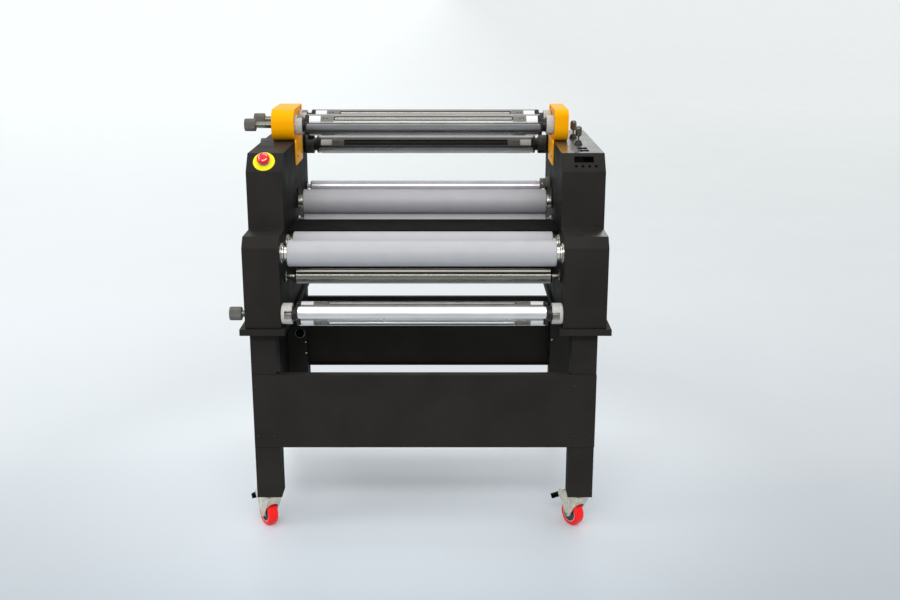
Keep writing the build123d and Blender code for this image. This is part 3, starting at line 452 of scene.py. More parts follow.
def softened_node(node, body, slot, paint, width):
    """A CAD node's own shape with rounded edges, standing for the node."""
    bm = bmesh.new()
    bm.from_mesh(frame["nodes"][node].data)
    bmesh.ops.remove_doubles(bm, verts=bm.verts, dist=0.002 * MM)
    flat = math.radians(0.4)
    bmesh.ops.dissolve_limit(bm, angle_limit=flat, verts=bm.verts, edges=bm.edges)
    for face in bm.faces:
        face.material_index = 0
    mesh = bpy.data.meshes.new(node + "_soft")
    bm.to_mesh(mesh)
    bm.free()
    mesh.materials.append(paint)
    mesh.shade_smooth()
    mesh.set_sharp_from_angle(angle=SHARP)
    piece = bpy.data.objects.new(node + "_soft", mesh)
    bpy.context.scene.collection.objects.link(piece)
    soften(piece, width)
    return place_piece(piece, body, slot, node)


# ---- boxes of the CAD nodes ---------------------------------------------------------
def middle_of(node):
    """The middle of a node's box."""
    low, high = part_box(node)
    return (low + high) / 2


def node_axis(node):
    """(y, z) of a round node's axis, from its box."""
    middle = middle_of(node)
    return middle.y, middle.z


def round_size(node):
    """Radius and length along X of a round node, in millimetres."""
    low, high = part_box(node)
    return (high.z - low.z) / 2 / MM, (high.x - low.x) / MM


# ---- materials ----------------------------------------------------------------------
class Finish:
    """A procedural material: patches of colour, uneven gloss and a fine relief."""

    def __init__(self, name, colour, rough, metal=0.0):
        self.material = bpy.data.materials.new(name)
        self.material.use_nodes = True
        self.tree = self.material.node_tree
        self.nodes, self.links = self.tree.nodes, self.tree.links
        self.nodes.clear()
        self.shader = self.nodes.new("ShaderNodeBsdfPrincipled")
        self.tune("Metallic", metal)
        out = self.nodes.new("ShaderNodeOutputMaterial")
        self.links.new(self.shader.outputs[0], out.inputs["Surface"])
        self.place = self.nodes.new("ShaderNodeTexCoord").outputs["Object"]
        self.colour, self.rough = colour, rough
        self.height = None

    def noise(self, scale, detail=4.0, stretch=(1.0, 1.0, 1.0)):
        """A noise value in the piece's own space."""
        mapping = self.nodes.new("ShaderNodeMapping")
        mapping.inputs["Scale"].default_value = stretch
        self.links.new(self.place, mapping.inputs["Vector"])
        texture = self.nodes.new("ShaderNodeTexNoise")
        texture.inputs["Scale"].default_value = scale
        texture.inputs["Detail"].default_value = detail
        texture.inputs["Roughness"].default_value = 0.55
        self.links.new(mapping.outputs[0], texture.inputs["Vector"])
        return texture.outputs["Fac"]

    def spread(self, value, low, high):
        """A noise value stretched over low to high."""
        return map_range(self.tree, value, (0.35, 0.65), (low, high), smooth=False)

    def patches(self, value, vary):
        """Colour between a darker and a lighter shade of the base, as value says."""
        mix = self.nodes.new("ShaderNodeMix")
        mix.data_type = "RGBA"
        factors = {"A": 1 - vary, "B": 1 + vary}
        for socket in mix.inputs:
            if socket.type == "RGBA":
                shade = [channel * factors[socket.name] for channel in self.colour]
                socket.default_value = (*shade, 1.0)
        self.links.new(self.spread(value, 0.0, 1.0), mix.inputs["Factor"])
        found = [socket for socket in mix.outputs if socket.type == "RGBA"][0]
        self.links.new(found, self.shader.inputs["Base Color"])

    def gloss(self, value, vary):
        """Roughness that wanders about its middle."""
        low, high = max(self.rough - vary, 0.02), self.rough + vary
        self.links.new(self.spread(value, low, high), self.shader.inputs["Roughness"])

    def relief(self, value, distance, strength):
        """Add a bump layer, distance in metres."""
        bump = self.nodes.new("ShaderNodeBump")
        bump.inputs["Strength"].default_value = strength
        bump.inputs["Distance"].default_value = distance
        self.links.new(value, bump.inputs["Height"])
        if self.height:
            self.links.new(self.height, bump.inputs["Normal"])
        self.height = bump.outputs["Normal"]
        self.links.new(self.height, self.shader.inputs["Normal"])

    def tune(self, name, value):
        """Set one value of the shader."""
        self.shader.inputs[name].default_value = value
        return self

    def dull(self, level):
        """How strongly the clear surface mirrors, 0.5 being plain plastic."""
        return self.tune("Specular IOR Level", level)


def painted(name, colour, rough, vary=0.10):
    """Powder coat: a fine orange peel, faint patches and uneven gloss."""
    finish = Finish(name, colour, rough)
    finish.patches(finish.noise(9.0), vary)
    finish.gloss(finish.noise(14.0, 6.0), 0.06)
    finish.relief(finish.noise(900.0, 2.0), 0.05 * MM, 0.35)
    finish.relief(finish.noise(60.0, 1.0), 0.06 * MM, 0.12)
    return finish


def turned_metal(name, colour, rough, along=0):
    """Ground or turned metal with fine lines round its axis and faint stains."""
    finish = Finish(name, colour, rough, metal=1.0)
    stretch = [0.02, 0.02, 0.02]
    stretch[along] = 1.0
    finish.patches(finish.noise(12.0), 0.05)
    finish.gloss(finish.noise(14.0, 3.0), rough * 0.12)
    finish.relief(finish.noise(400.0, 1.0, stretch), 0.001 * MM, 0.05)
    return finish


def cast_metal(name, colour, rough, grain, depth, metal):
    """Blasted or cast metal with a pebbled surface, depth in millimetres."""
    finish = Finish(name, colour, rough, metal=metal)
    finish.patches(finish.noise(grain * 0.4, 5.0), 0.16)
    finish.gloss(finish.noise(60.0), 0.08)
    finish.relief(finish.noise(grain, 3.0), depth * MM, 0.6)
    return finish


def moulded(name, colour, rough, grain=1200.0, vary=0.08):
    """Moulded plastic or rubber with a soft sheen and a faint texture."""
    finish = Finish(name, colour, rough)
    finish.patches(finish.noise(25.0), vary)
    finish.gloss(finish.noise(40.0, 5.0), 0.05)
    finish.relief(finish.noise(grain, 2.0), 0.02 * MM, 0.35)
    return finish


# floor colour from near to far: painted shade, darkest near the viewer and lighter far away
FLOOR_PAINTED_LIGHT = (                           # share of the way from near to far, colour
    (0.00, (0.385, 0.422, 0.462)),
    (0.04, (0.435, 0.470, 0.505)),
    (0.10, (0.570, 0.602, 0.632)),
    (0.25, (0.735, 0.765, 0.785)),
    (0.60, (0.800, 0.830, 0.840)),
    (1.00, (0.885, 0.905, 0.905)),
)
FLOOR_NEAR, FLOOR_FAR = -1.0, 11.0         # metres along Y


def floor_finish():
    """Pale floor with painted light: painted shade darkening it towards the viewer and a little
    towards the right, and a painted brightening under the machine that lightens its shadow.
    """
    floor = Finish("pale_floor", (0.8, 0.8, 0.8), 0.42)
    tree = floor.tree
    split = tree.nodes.new("ShaderNodeSeparateXYZ")
    tree.links.new(floor.place, split.inputs[0])
    ramp = tree.nodes.new("ShaderNodeValToRGB")
    ramp.color_ramp.interpolation = "B_SPLINE"
    stops = ramp.color_ramp.elements
    stops[0].position, stops[1].position = 0.0, 1.0
    for share, colour in FLOOR_PAINTED_LIGHT[1:-1]:
        stops.new(share)
    for stop, (share, colour) in zip(stops, FLOOR_PAINTED_LIGHT):
        stop.color = (*colour, 1.0)
    far = map_range(tree, split.outputs["Y"], (FLOOR_NEAR, FLOOR_FAR), smooth=False)
    tree.links.new(far, ramp.inputs["Fac"])
    # painted shade: lighter to the left, darker to the right
    side = map_range(tree, split.outputs["X"], (-2.6, 2.6), (1.12, 0.89))
    cloudy = floor.spread(floor.noise(0.6, 2.0), 0.994, 1.006)
    # painted light: the floor up to 1.62 times lighter close under the machine, lightening its cast
    # shadow
    reach = tree.nodes.new("ShaderNodeVectorMath")
    reach.operation = "LENGTH"
    tree.links.new(floor.place, reach.inputs[0])
    under = map_range(tree, reach.outputs["Value"], (0.1, 1.25), (1.62, 1.0))
    light = combined(tree, "MULTIPLY", combined(tree, "MULTIPLY", side, cloudy), under)
    shade = tree.nodes.new("ShaderNodeVectorMath")
    shade.operation = "SCALE"
    tree.links.new(ramp.outputs["Color"], shade.inputs[0])
    tree.links.new(light, shade.inputs["Scale"])
    tree.links.new(shade.outputs[0], floor.shader.inputs["Base Color"])
    floor.gloss(floor.noise(3.0), 0.04)
    floor.relief(floor.noise(180.0, 2.0), 0.01 * MM, 0.1)
    return floor.dull(0.25)


def make_paints():
    """Every material of the machine and its floor."""
    found = {
        "charcoal": painted("charcoal_powder_coat", (0.0235, 0.0215, 0.0190), 0.48).dull(0.05),
        # a glossier, stronger reflecting copy of the powder coat for the right cabinet's top faces:
        # painted sheen
        "top_coat_painted_sheen": painted("top_faces_painted_sheen", (0.0205, 0.0190, 0.0170), 0.26).tune("IOR", 2.5),
        # a darker, duller copy of the powder coat for the inner walls and inward faces: the frame's
        # own dark paint, darkened further as painted shade between the cabinets
        "dark_paint_and_inner_shade": painted("inner_walls_dark_paint_and_shade", (0.0100, 0.0096, 0.0090), 0.55).dull(0.02),
        "yellow": painted("amber_powder_coat", (1.0, 0.42, 0.0008), 0.42, 0.03).dull(0.05),
        "silicone": moulded("grey_silicone", (0.45, 0.445, 0.465), 0.46, 500.0, 0.02).dull(0.3),
        "steel": turned_metal("roller_core_steel", (0.78, 0.75, 0.68), 0.30),
        # one polished idler steel in two copies, dark for the lower idler and light lilac for the rear
        # idler: painted reflection
        "polished": turned_metal("idler_steel_painted_dark_reflection", (0.27, 0.262, 0.225), 0.17),
        "polished_painted_light_reflection": turned_metal("rear_idler_steel_painted_light_reflection", (0.72, 0.71, 0.76), 0.24),
        "rail": turned_metal("gripper_rail_aluminium", (0.36, 0.355, 0.345), 0.30),
        # a lighter copy of the rail aluminium for the lower supply shaft, painted light, and a darker
        # one for the rewind shaft, painted shade
        "rail_painted_light": turned_metal("rail_aluminium_painted_light", (0.92, 0.91, 0.89), 0.24),
        "rail_painted_shade": turned_metal("rail_aluminium_painted_shade", (0.10, 0.097, 0.092), 0.28),
        "grip_bar": cast_metal("gripper_bar", (0.36, 0.345, 0.31), 0.40, 500.0, 0.01, 0.6),
        # a lighter and a darker copy of the grip bar: painted light on the lower supply shaft, painted
        # shade on the rewind shaft
        "grip_bar_painted_light": turned_metal("gripper_bar_painted_light", (0.85, 0.84, 0.81), 0.34),
        "grip_bar_painted_shade": cast_metal(
            "gripper_bar_painted_shade", (0.020, 0.019, 0.017), 0.45, 500.0, 0.01, 0.3),
        "hub": cast_metal("cast_hub", (0.50, 0.49, 0.46), 0.55, 650.0, 0.08, 0.0),
        # a darker copy of the cast hub for the rewind shaft's hubs: painted shade
        "hub_painted_shade": cast_metal("cast_hub_painted_shade", (0.060, 0.057, 0.048), 0.50, 650.0, 0.08, 0.2),
        "clamp": cast_metal("clamp_metal", (0.15, 0.145, 0.12), 0.45, 650.0, 0.04, 0.4),
        "end_block": cast_metal("end_block", (0.17, 0.165, 0.145), 0.46, 650.0, 0.02, 0.3),
        "dark_steel": cast_metal("blackened_steel", (0.022, 0.021, 0.020), 0.42, 500.0, 0.02, 0.5),
        "plate": moulded("blank_label", (0.74, 0.745, 0.745), 0.40, 300.0, 0.02),
        "screw": cast_metal("black_screw", (0.008, 0.008, 0.008), 0.40, 500.0, 0.01, 0.0),
        "bright_screw": turned_metal("zinc_screw", (0.72, 0.72, 0.70), 0.24),
        "knob_sleeve": turned_metal("knob_sleeve_steel", (0.20, 0.195, 0.16), 0.30),
        "knob": cast_metal("knurled_knob", (0.125, 0.116, 0.100), 0.48, 700.0, 0.02, 0.2),
        "stop_disc": moulded("stop_disc_yellow", (0.90, 0.84, 0.015), 0.36, 900.0, 0.03).dull(0.2),
        "stop_red": moulded("stop_head_red", (0.88, 0.006, 0.016), 0.14, 900.0, 0.04),
        "stop_grey": moulded("stop_collar_grey", (0.34, 0.35, 0.37), 0.34),
        "stop_white_arc": moulded("stop_head_white_arcs", (0.90, 0.90, 0.90), 0.30, 900.0, 0.03),
        "black": moulded("black_plastic", (0.0030, 0.0030, 0.0035), 0.45).dull(0.02),
        "glass": moulded("display_window", (0.0010, 0.0010, 0.0012), 0.30, 200.0).dull(0.0),
        "screen": moulded("display_screen", (0.0035, 0.0035, 0.004), 0.30, 400.0).dull(0.0),
        "lever": turned_metal("lever_chrome", (0.15, 0.14, 0.115), 0.11, along=2),
        "caster": cast_metal("pressed_caster_steel", (0.62, 0.60, 0.50), 0.36, 250.0, 0.02, 0.35),
        "tread": moulded("red_tread", (1.0, 0.012, 0.014), 0.40, 700.0, 0.03).dull(0.2),
        "wheel_hub": moulded("grey_wheel_hub", (0.060, 0.066, 0.062), 0.40, 700.0),
        "gear": turned_metal("gear_steel", (0.42, 0.41, 0.39), 0.30),
        "motor": painted("motor_grey_paint", (0.12, 0.13, 0.14), 0.40),
        "floor": floor_finish(),
    }
    # the rear idler's copy only half metallic, part of its painted reflection
    found["polished_painted_light_reflection"].tune("Metallic", 0.45)
    return {name: finish.material for name, finish in found.items()}


# ---- cabinets -----------------------------------------------------------------------
PANEL_SETBACK = 112 * MM                   # from the covers' front to the sloping panel's foot
PANEL_DROP = 42.5 * MM                     # from the covers' top down to that foot
DECK_RISE, NOSE_RISE, NOSE_DEPTH = 235.5 * MM, 210 * MM, 22 * MM
SHEET, BEND = 1.5 * MM, 3.0 * MM
HOLE_DEPTH = 6 * MM
DISPLAY_HALF = (25.0, 9.25)
SIDE_SCREWS = (                            # along from the front, up from the bottom
    (30, 22), (320, 22), (610, 22), (30, 190), (140, 300), (140, 370),
    (320, 405), (612, 405), (612, 210),
)


def slope_normal():
    """The outward normal of the sloping control panels, from the stop button's travel."""
    return -Vector(JOINTS["stop_push"]["axis"])


def panel_foot():
    """(y, z) of the sloping panel's lower edge."""
    low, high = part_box("left_cover")
    return low.y + PANEL_SETBACK, high.z - PANEL_DROP


def cabinet_outline():
    """The cabinets' side outline in (y, z), from the boxes of the parts on them."""
    low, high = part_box("left_cover")
    normal = slope_normal()
    foot_y, foot_z = panel_foot()
    return [
        (low.y, low.z),
        (high.y, low.z),
        (high.y, high.z),
        (foot_y + PANEL_DROP * normal.z / -normal.y, high.z),
        (foot_y, foot_z),
        (foot_y, low.z + DECK_RISE),
        (low.y + NOSE_DEPTH, low.z + DECK_RISE),
        (low.y, low.z + NOSE_RISE),
    ]


def cover_shell(name, outer_x, wall_x, paint):
    """The folded shell of one cabinet: outside, open rim at the wall, and inside."""
    outline = cabinet_outline()
    inward = MM if wall_x > outer_x else -MM
    sections = [(outer_x, 1.6), (outer_x + inward * 0.35, 0.75), (outer_x + inward * 1.6, 0.0)]
    sections += [(wall_x, 0.0), (wall_x, SHEET / MM), (outer_x + inward * SHEET / MM, SHEET / MM)]
    shape = Shape()
    rings = []
    for x, inset in sections:
        rings.append([(x, y, z) for y, z in rounded_outline(outline, inset * MM, BEND)])
    shape.rings(rings, paint)
    return shape.as_object(name)


def coat(piece, paint, facing):
    """Give the faces of a piece that look one way another paint."""
    mesh = piece.data
    mesh.materials.append(paint)
    other = len(mesh.materials) - 1
    for face in mesh.polygons:
        if face.normal.dot(Vector(facing)) > 0.97:
            face.material_index = other
    return piece


def cutter_rod(place, radius, low, high):
    """A round cutter along a place's Z axis."""
    shape = Shape()
    shape.lathe([(0.0, low), (radius, low), (radius, high), (0.0, high)], place, None, 40)
    return shape.as_object("cutter")


def cutter_block(low, high, place=None):
    """A square cutter."""
    shape = Shape()
    shape.block(low, high, None, 0.0, place)
    return shape.as_object("cutter")


def round_hole(place, radius):
    """A cutter for a hole of a radius in millimetres through a sheet at a place."""
    return cutter_rod(place, radius * MM, -HOLE_DEPTH, HOLE_DEPTH)


def square_hole(place, half_width, half_height):
    """A cutter for a rectangular hole, half sizes in millimetres."""
    corner = Vector((half_width * MM, half_height * MM, HOLE_DEPTH))
    return cutter_block(-corner, corner, place)


def panel_frame(node):
    """The place on the sloping panel under a node's middle, Z along the panel's normal."""
    normal, middle = slope_normal(), middle_of(node)
    on_plane = Vector((middle.x, *panel_foot()))
    return facing_frame(middle + normal * (on_plane - middle).dot(normal), normal)


def deck_frame(node):
    """The place on the right cabinet's top under a node's middle."""
    middle = middle_of(node)
    return Matrix.Translation((middle.x, middle.y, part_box("right_cover")[1].z))


def display_place():
    """The middle of the display window on the sloping panel, above the keys."""
    first = panel_frame(KEYS[0])
    up_slope = first.to_3x3() @ Vector((0.0, 1.0, 0.0))
    spot = first.translation + up_slope * (20.8 * MM)
    spot.x = (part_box(KEYS[0])[0].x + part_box(KEYS[-1])[1].x) / 2 - 4.5 * MM
    return facing_frame(spot, slope_normal())


def inlet_place():
    """The middle of the power inlet in the back of the right cabinet."""
    low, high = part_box("right_cover")
    return facing_frame((high.x - 55 * MM, high.y, low.z + 66 * MM), (0, 1, 0))


def make_covers(paints):
    """Both cabinet covers with the openings for what passes through them."""
    charcoal, inner = paints["charcoal"], paints["dark_paint_and_inner_shade"]
    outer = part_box("left_cover")[0].x
    left = cover_shell("left_cover_shell", outer, COVER_INNER_LEFT, charcoal)
    holes = []
    for knob in ("rewind_knob", "lower_supply_knob"):
        holes.append(round_hole(axle_frame(outer, *node_axis(knob)), 11))
    holes.append(round_hole(panel_frame("e_stop_base"), 11.3))
    # the left cover's inward faces in the darker copy: painted shade between the cabinets
    coat(cut(left, holes), inner, (1, 0, 0))
    place_piece(left, "stand", "charcoal_paint", "left_cover")

    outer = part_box("right_cover")[1].x
    right = cover_shell("right_cover_shell", outer, COVER_INNER_RIGHT, charcoal)
    holes = [square_hole(display_place(), *DISPLAY_HALF)]
    holes += [round_hole(panel_frame(key), 3.9) for key in KEYS]
    for row in ROWS:
        switch = f"rocker_switch_{row}"
        low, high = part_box(switch)
        half = (high - low) / 2 / MM
        holes.append(square_hole(deck_frame(switch), half.x + 1.0, half.y + 1.0))
        holes.append(round_hole(deck_frame(f"toggle_lever_{row}"), 7))
    holes.append(square_hole(inlet_place(), 14, 10.5))
    # the right cover's top faces in the glossier copy of the powder coat, a painted sheen
    coat(cut(right, holes), paints["top_coat_painted_sheen"], (0, 0, 1))
    # the right cover's inward faces in the darker copy: painted shade between the cabinets
    coat(right, inner, (-1, 0, 0))
    place_piece(right, "stand", "charcoal_paint", "right_cover")


def make_cover_screws(paints):
    """Button screws that hold the covers, on their outer sides and their backs."""
    low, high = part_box("left_cover")[0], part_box("right_cover")[1]
    shape = Shape()
    for along, up in SIDE_SCREWS:
        for x, direction in ((low.x, -1), (high.x, 1)):
            origin = (x, low.y + along * MM, low.z + up * MM)
            shape.screw(origin, (direction, 0, 0), 3.4, paints["screw"])
    for inner, outer in ((COVER_INNER_LEFT, low.x), (COVER_INNER_RIGHT, high.x)):
        for share in (0.18, 0.82):
            x = inner + (outer - inner) * share
            for up in (24, 215, 405):
                shape.screw((x, high.y, low.z + up * MM), (0, 1, 0), 3.4, paints["screw"])
    shape.piece("cover_screws", "stand", "charcoal_paint")


# ---- frame --------------------------------------------------------------------------
def make_frame(paints):
    """Stand sides, panels, side plates, table, tie tube and the yellow brackets."""
    charcoal, inner = paints["charcoal"], paints["dark_paint_and_inner_shade"]
    for node, inward in (("left_stand_side", 1), ("right_stand_side", -1)):
        side = softened_node(node, "stand", "charcoal_paint", charcoal, 1.3 * MM)
        # the stand sides' inward faces in the darker copy: painted shade
        coat(side, inner, (inward, 0, 0))
    for node, width, paint in (
        ("front_panel", 0.9, charcoal),
        ("rear_panel", 0.7, charcoal),
        ("crossmember", 1.2, charcoal),
        # side plates and table in the darker copy: dark paint, darkened further as painted shade
        ("left_side_plate", 0.8, inner),
        ("right_side_plate", 0.8, inner),
        ("feed_table", 0.7, inner),
    ):
        softened_node(node, "stand", "charcoal_paint", paint, width * MM)
    make_bracket("left_shaft_bracket", WALLS[0], 36 * MM, 9.6 * MM, paints["yellow"])
    make_bracket("right_shaft_bracket", WALLS[1], 18 * MM, 6.4 * MM, paints["yellow"])


def bracket_outline(over):
    """A bracket's side outline in (y, z): a wide round below and one of radius over above."""
    low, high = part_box("left_shaft_bracket")
    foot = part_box("left_cover")[1].z
    under, rear = 40 * MM, 5 * MM
    outline = [(high.y, foot)]
    outline += arc_points((high.y - rear, high.z - rear), rear, 0, 90, 4)
    outline += arc_points((low.y + over, high.z - over), over, 90, 180, 8)
    outline += arc_points((low.y + under, foot + under), under, 180, 270, 14)
    return outline


def make_bracket(node, side, over, bore, paint):
    """A yellow bracket: a box with a rimmed recess on its inner side, and its tongue."""
    wall, outward = side
    low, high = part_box(node)
    outer = low.x if outward < 0 else high.x
    outline = bracket_outline(over)
    out = outward * MM
    shape = Shape()
    rings = []
    for x, inset in (
        (outer, 1.0),
        (outer - 0.3 * out, 0.3),
        (outer - out, 0.0),
        (wall + 0.5 * out, 0.0),
        (wall, 0.5),
        (wall, 3.2),
        (wall + 4 * out, 3.2),
    ):
        rings.append([(x, y, z) for y, z in offset_outline(outline, inset * MM)])
    shape.rings(rings, paint)
    holes = []
    middle = outer - 14 * out
    for shaft in ("supply_shaft_front", "supply_shaft_rear"):
        axle = axle_frame(0.0, *node_axis(shaft))
        holes.append(cutter_rod(axle, bore, *sorted((outer + 5 * out, middle))))
        holes.append(cutter_rod(axle, 6.3 * MM, *sorted((middle, wall - 5 * out))))
    body = cut(shape.as_object(node + "_body"), holes)
    place_piece(body, "stand", "yellow_paint", node)
    left, right = sorted((wall, wall - 4 * out))
    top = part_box("left_cover")[1].z + 4 * MM
    shape = Shape()
    front, rear = low.y + 10 * MM, low.y + 150 * MM
    shape.block((left, front, low.z), (right, rear, top), paint, 0.9 * MM)
    shape.piece(node + "_tongue", "stand", "yellow_paint")


def make_frame_fasteners(paints):
    """Screws of the front and rear panels and of the brackets' tongues."""
    shape = Shape()
    low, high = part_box("front_panel")
    for x in (low.x + 8 * MM, low.x + 51 * MM, high.x - 55 * MM, high.x - 11 * MM):
        for z in (high.z - 31 * MM, low.z + 32 * MM):
            shape.screw((x, low.y, z), (0, -1, 0), 3.6, paints["screw"])
    low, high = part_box("rear_panel")
    for x in (low.x + 20 * MM, (low.x + high.x) / 2, high.x - 20 * MM):
        for z in (high.z - 24 * MM, low.z + 24 * MM):
            shape.screw((x, high.y, z), (0, 1, 0), 3.6, paints["screw"])
    shape.piece("panel_screws", "stand", "charcoal_paint")

    shape = Shape()
    for node, inward in (("left_shaft_bracket", 1), ("right_shaft_bracket", -1)):
        low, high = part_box(node)
        face = high.x if inward > 0 else low.x
        for depth in (38, 122):
            origin = (face, low.y + depth * MM, low.z + 22 * MM)
            shape.screw(origin, (inward, 0, 0), 3.0, paints["screw"])
    shape.piece("bracket_screws", "stand", "machined_steel")


def make_leg_fittings(paints):
    """The cable ring and small bright screws on the rear legs, and the left legs' web."""
    left_low, left_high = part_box("left_stand_side")
    right_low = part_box("right_stand_side")[0]
    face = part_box("rear_panel")[0].y - 31 * MM
    shape = Shape()
    ring_place = (left_low.x + 65 * MM, face, left_low.z + 268 * MM)
    place = facing_frame(ring_place, (0, -1, 0))
    shape.arc_strip(place, -228, 256, [(14.0, 0.35), (15.6, 0.35)], paints["bright_screw"])
    shape.turned([(0, 0), (12.9, 0), (12.6, 0.8), (0, 0.8)], place, paints["black"], 48)
    for corner, along, up in ((left_low, 81.5, 239), (left_low, 82.5, 203), (right_low, 41, 247)):
        origin = (corner.x + along * MM, face, corner.z + up * MM)
        shape.screw(origin, (0, -1, 0), 2.6, paints["bright_screw"])
    shape.piece("leg_fittings", "stand", "machined_steel")
    shape = Shape()
    low = left_low + Vector((22, 89, 102)) * MM
    high = Vector((left_low.x + 27 * MM, left_high.y - 59 * MM, left_high.z - 18 * MM))
    # the web in the darker copy: dark paint, darkened further as painted shade
    shape.block(low, high, paints["dark_paint_and_inner_shade"], 0.8 * MM)
    shape.piece("left_leg_web", "stand", "charcoal_paint")


# ---- rollers ------------------------------------------------------------------------
SLEEVE_TRIM, SLEEVE_BORE, SLEEVE_CURL = 4.6, 25.0, 3.4
JOURNAL, SHOULDER, COLLAR = 10, 15, 18.6   # radii of a roller's core


def make_roller(name, body, paints):
    """A covered roller: soft sleeve with rounded ends on a turned core."""
    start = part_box(name + "_sleeve")[0].x
    radius, length = round_size(name + "_sleeve")
    place = axle_frame(start, *node_axis(name + "_sleeve"))
    trim, bore, curl = SLEEVE_TRIM, SLEEVE_BORE, SLEEVE_CURL
    half = [(bore, trim + 0.6), (bore + 0.6, trim)]
    half += arc_points((radius - curl, trim + curl), curl, -90, 0, 7)
    shape = Shape()
    shape.turned(half + mirrored(half, length), place, paints["silicone"], 128, loop=True)
    shape.piece(name + "_cover", body, "silicone", name + "_sleeve")

    low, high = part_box(name + "_core")
    left, right = (low.x - start) / MM, (high.x - start) / MM
    steps = [(JOURNAL, -8), (SHOULDER - 0.8, -8), (SHOULDER, -7.2), (SHOULDER, -3.8)]
    steps += [(COLLAR - 0.8, -3.8), (COLLAR, -3.0), (COLLAR, trim + 1.0), (bore - 0.1, trim + 1.0)]
    profile = [(0.0, left), (JOURNAL - 0.8, left), (JOURNAL, left + 0.8)] + steps
    profile += mirrored(steps, length)
    profile += [(JOURNAL, right - 0.8), (JOURNAL - 0.8, right), (0.0, right)]
    shape = Shape()
    shape.turned(profile, place, paints["steel"])
    shape.piece(name + "_shaft", body, "roller_steel", name + "_core")


def make_idler(name, reach, paint):
    """A polished idler with chamfered, recessed ends; reach is its left and right end from
    the rollers' middle."""
    low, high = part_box(name)
    radius = round_size(name)[0]
    middle = roller_middle()
    taper, stub = 4, 6
    rim = radius - taper

    def half(tip, face, inward):
        """Half a profile, from the stub's tip to the full radius."""
        recess = face + inward * 1.5
        return [
            (0.0, tip), (stub - 0.5, tip), (stub, tip + inward * 0.5), (stub, recess),
            (rim - 2, recess), (rim - 1.4, face), (rim, face),
            (radius - 0.4, face + inward * (taper - 0.4)), (radius, face + inward * taper),
        ]

    profile = half((low.x - middle) / MM, reach[0], 1)
    profile += reversed(half((high.x - middle) / MM, reach[1], -1))
    shape = Shape()
    shape.turned(profile, axle_frame(middle, *node_axis(name)), paint, 96)
    shape.piece(name + "_bar", name, "polished_steel", name)


BEARINGS = {                               # flange radius, race radius, bore
    "front_roller_core": (26, 17, 10.05),
    "second_roller_core": (26, 17, 10.05),
    "lower_main_core": (26, 17, 10.05),
    "lower_idler": (16, 11, 6.05),
    "rear_idler": (16, 11, 6.05),
}


def make_bearings(paints):
    """Flanged bearing units on both walls."""
    flanges, races, screws = Shape(), Shape(), Shape()
    for node, (outer, race, bore) in BEARINGS.items():
        wide = outer > 20
        boss = 8.4 if wide else 4.0
        lip = race + 3.8
        flange = [(race + 0.2, -11.8), (race + 1.8, -11.8), (race + 1.8, 0.02), (outer, 0.02)]
        flange += [(outer, 2.8), (outer - 1.2, 4.0), (race + 4.4, 4.0), (lip, 4.6)]
        flange += [(lip, boss - 0.8), (lip - 0.8, boss), (race + 0.9, boss), (race + 0.2, boss - 0.8)]
        ring = [(bore, -11.6), (race, -11.6), (race, 3.2), (race - 0.6, 3.9), (race - 2.6, 3.9)]
        ring += [(race - 2.9, 3.3), (bore + 2.4, 3.3), (bore + 2.0, 4.2), (bore + 0.3, 4.2)]
        ring += [(bore, 3.9)]
        metal = paints["steel" if wide else "dark_steel"]
        for wall, outward in WALLS:
            normal = (-outward, 0, 0)
            place = facing_frame((wall, *node_axis(node)), normal, (0, 1, 0))
            flanges.turned(flange, place, metal, loop=True)
            races.turned(ring, place, paints["steel"], loop=True)
            for x, y in arc_points((0, 0), 22, 45, 315, 3) if wide else ():
                spot = place @ (Vector((x, y, 4.0)) * MM)
                screws.screw(spot, normal, 2.4, paints["screw"], 1.2)
    flanges.piece("bearing_flanges", "stand", "bearing_steel", "bearing_units")
    races.piece("bearing_races", "stand", "bearing_steel")
    screws.piece("bearing_screws", "stand", "machined_steel")


def make_clamp(paints):
    """The stepped clamp on the right wall, in front of the rear idler."""
    clamp = Shape()
    y, z = node_axis("rear_idler")
    place = Matrix.Translation((COVER_INNER_RIGHT, y - 145 * MM, z))
    for low, high in (((-14, 0, 23), (0, 24, 48)), ((-30, 4, 17), (-13.5, 20, 45))):
        low, high = Vector(low) * MM, Vector(high) * MM
        clamp.block(low, high, paints["clamp"], 1.2 * MM, place)
    spot = place @ (Vector((-22, 4, 31)) * MM)
    clamp.screw(spot, (0, -1, 0), 3.2, paints["bright_screw"])
    clamp.piece("idler_clamp", "stand", "bearing_steel")


def make_lift(paints):
    """The sliding blocks of the upper roller with their bearing rings."""
    softened_node("lift_carriage", "lift", "machined_steel", paints["dark_steel"], 0.8 * MM)
    shape = Shape()
    ring = [(10.06, -3.0), (14.6, -3.0), (14.6, 0.2), (14.0, 0.7), (11.2, 0.7), (10.8, 0.4)]
    ring += [(10.06, 0.4)]
    for wall, outward in WALLS:
        origin = (wall - outward * 4 * MM, *node_axis("upper_main_core"))
        place = facing_frame(origin, (-outward, 0, 0), (0, 1, 0))
        shape.turned(ring, place, paints["steel"], loop=True)
    shape.piece("lift_bearing_rings", "lift", "bearing_steel")


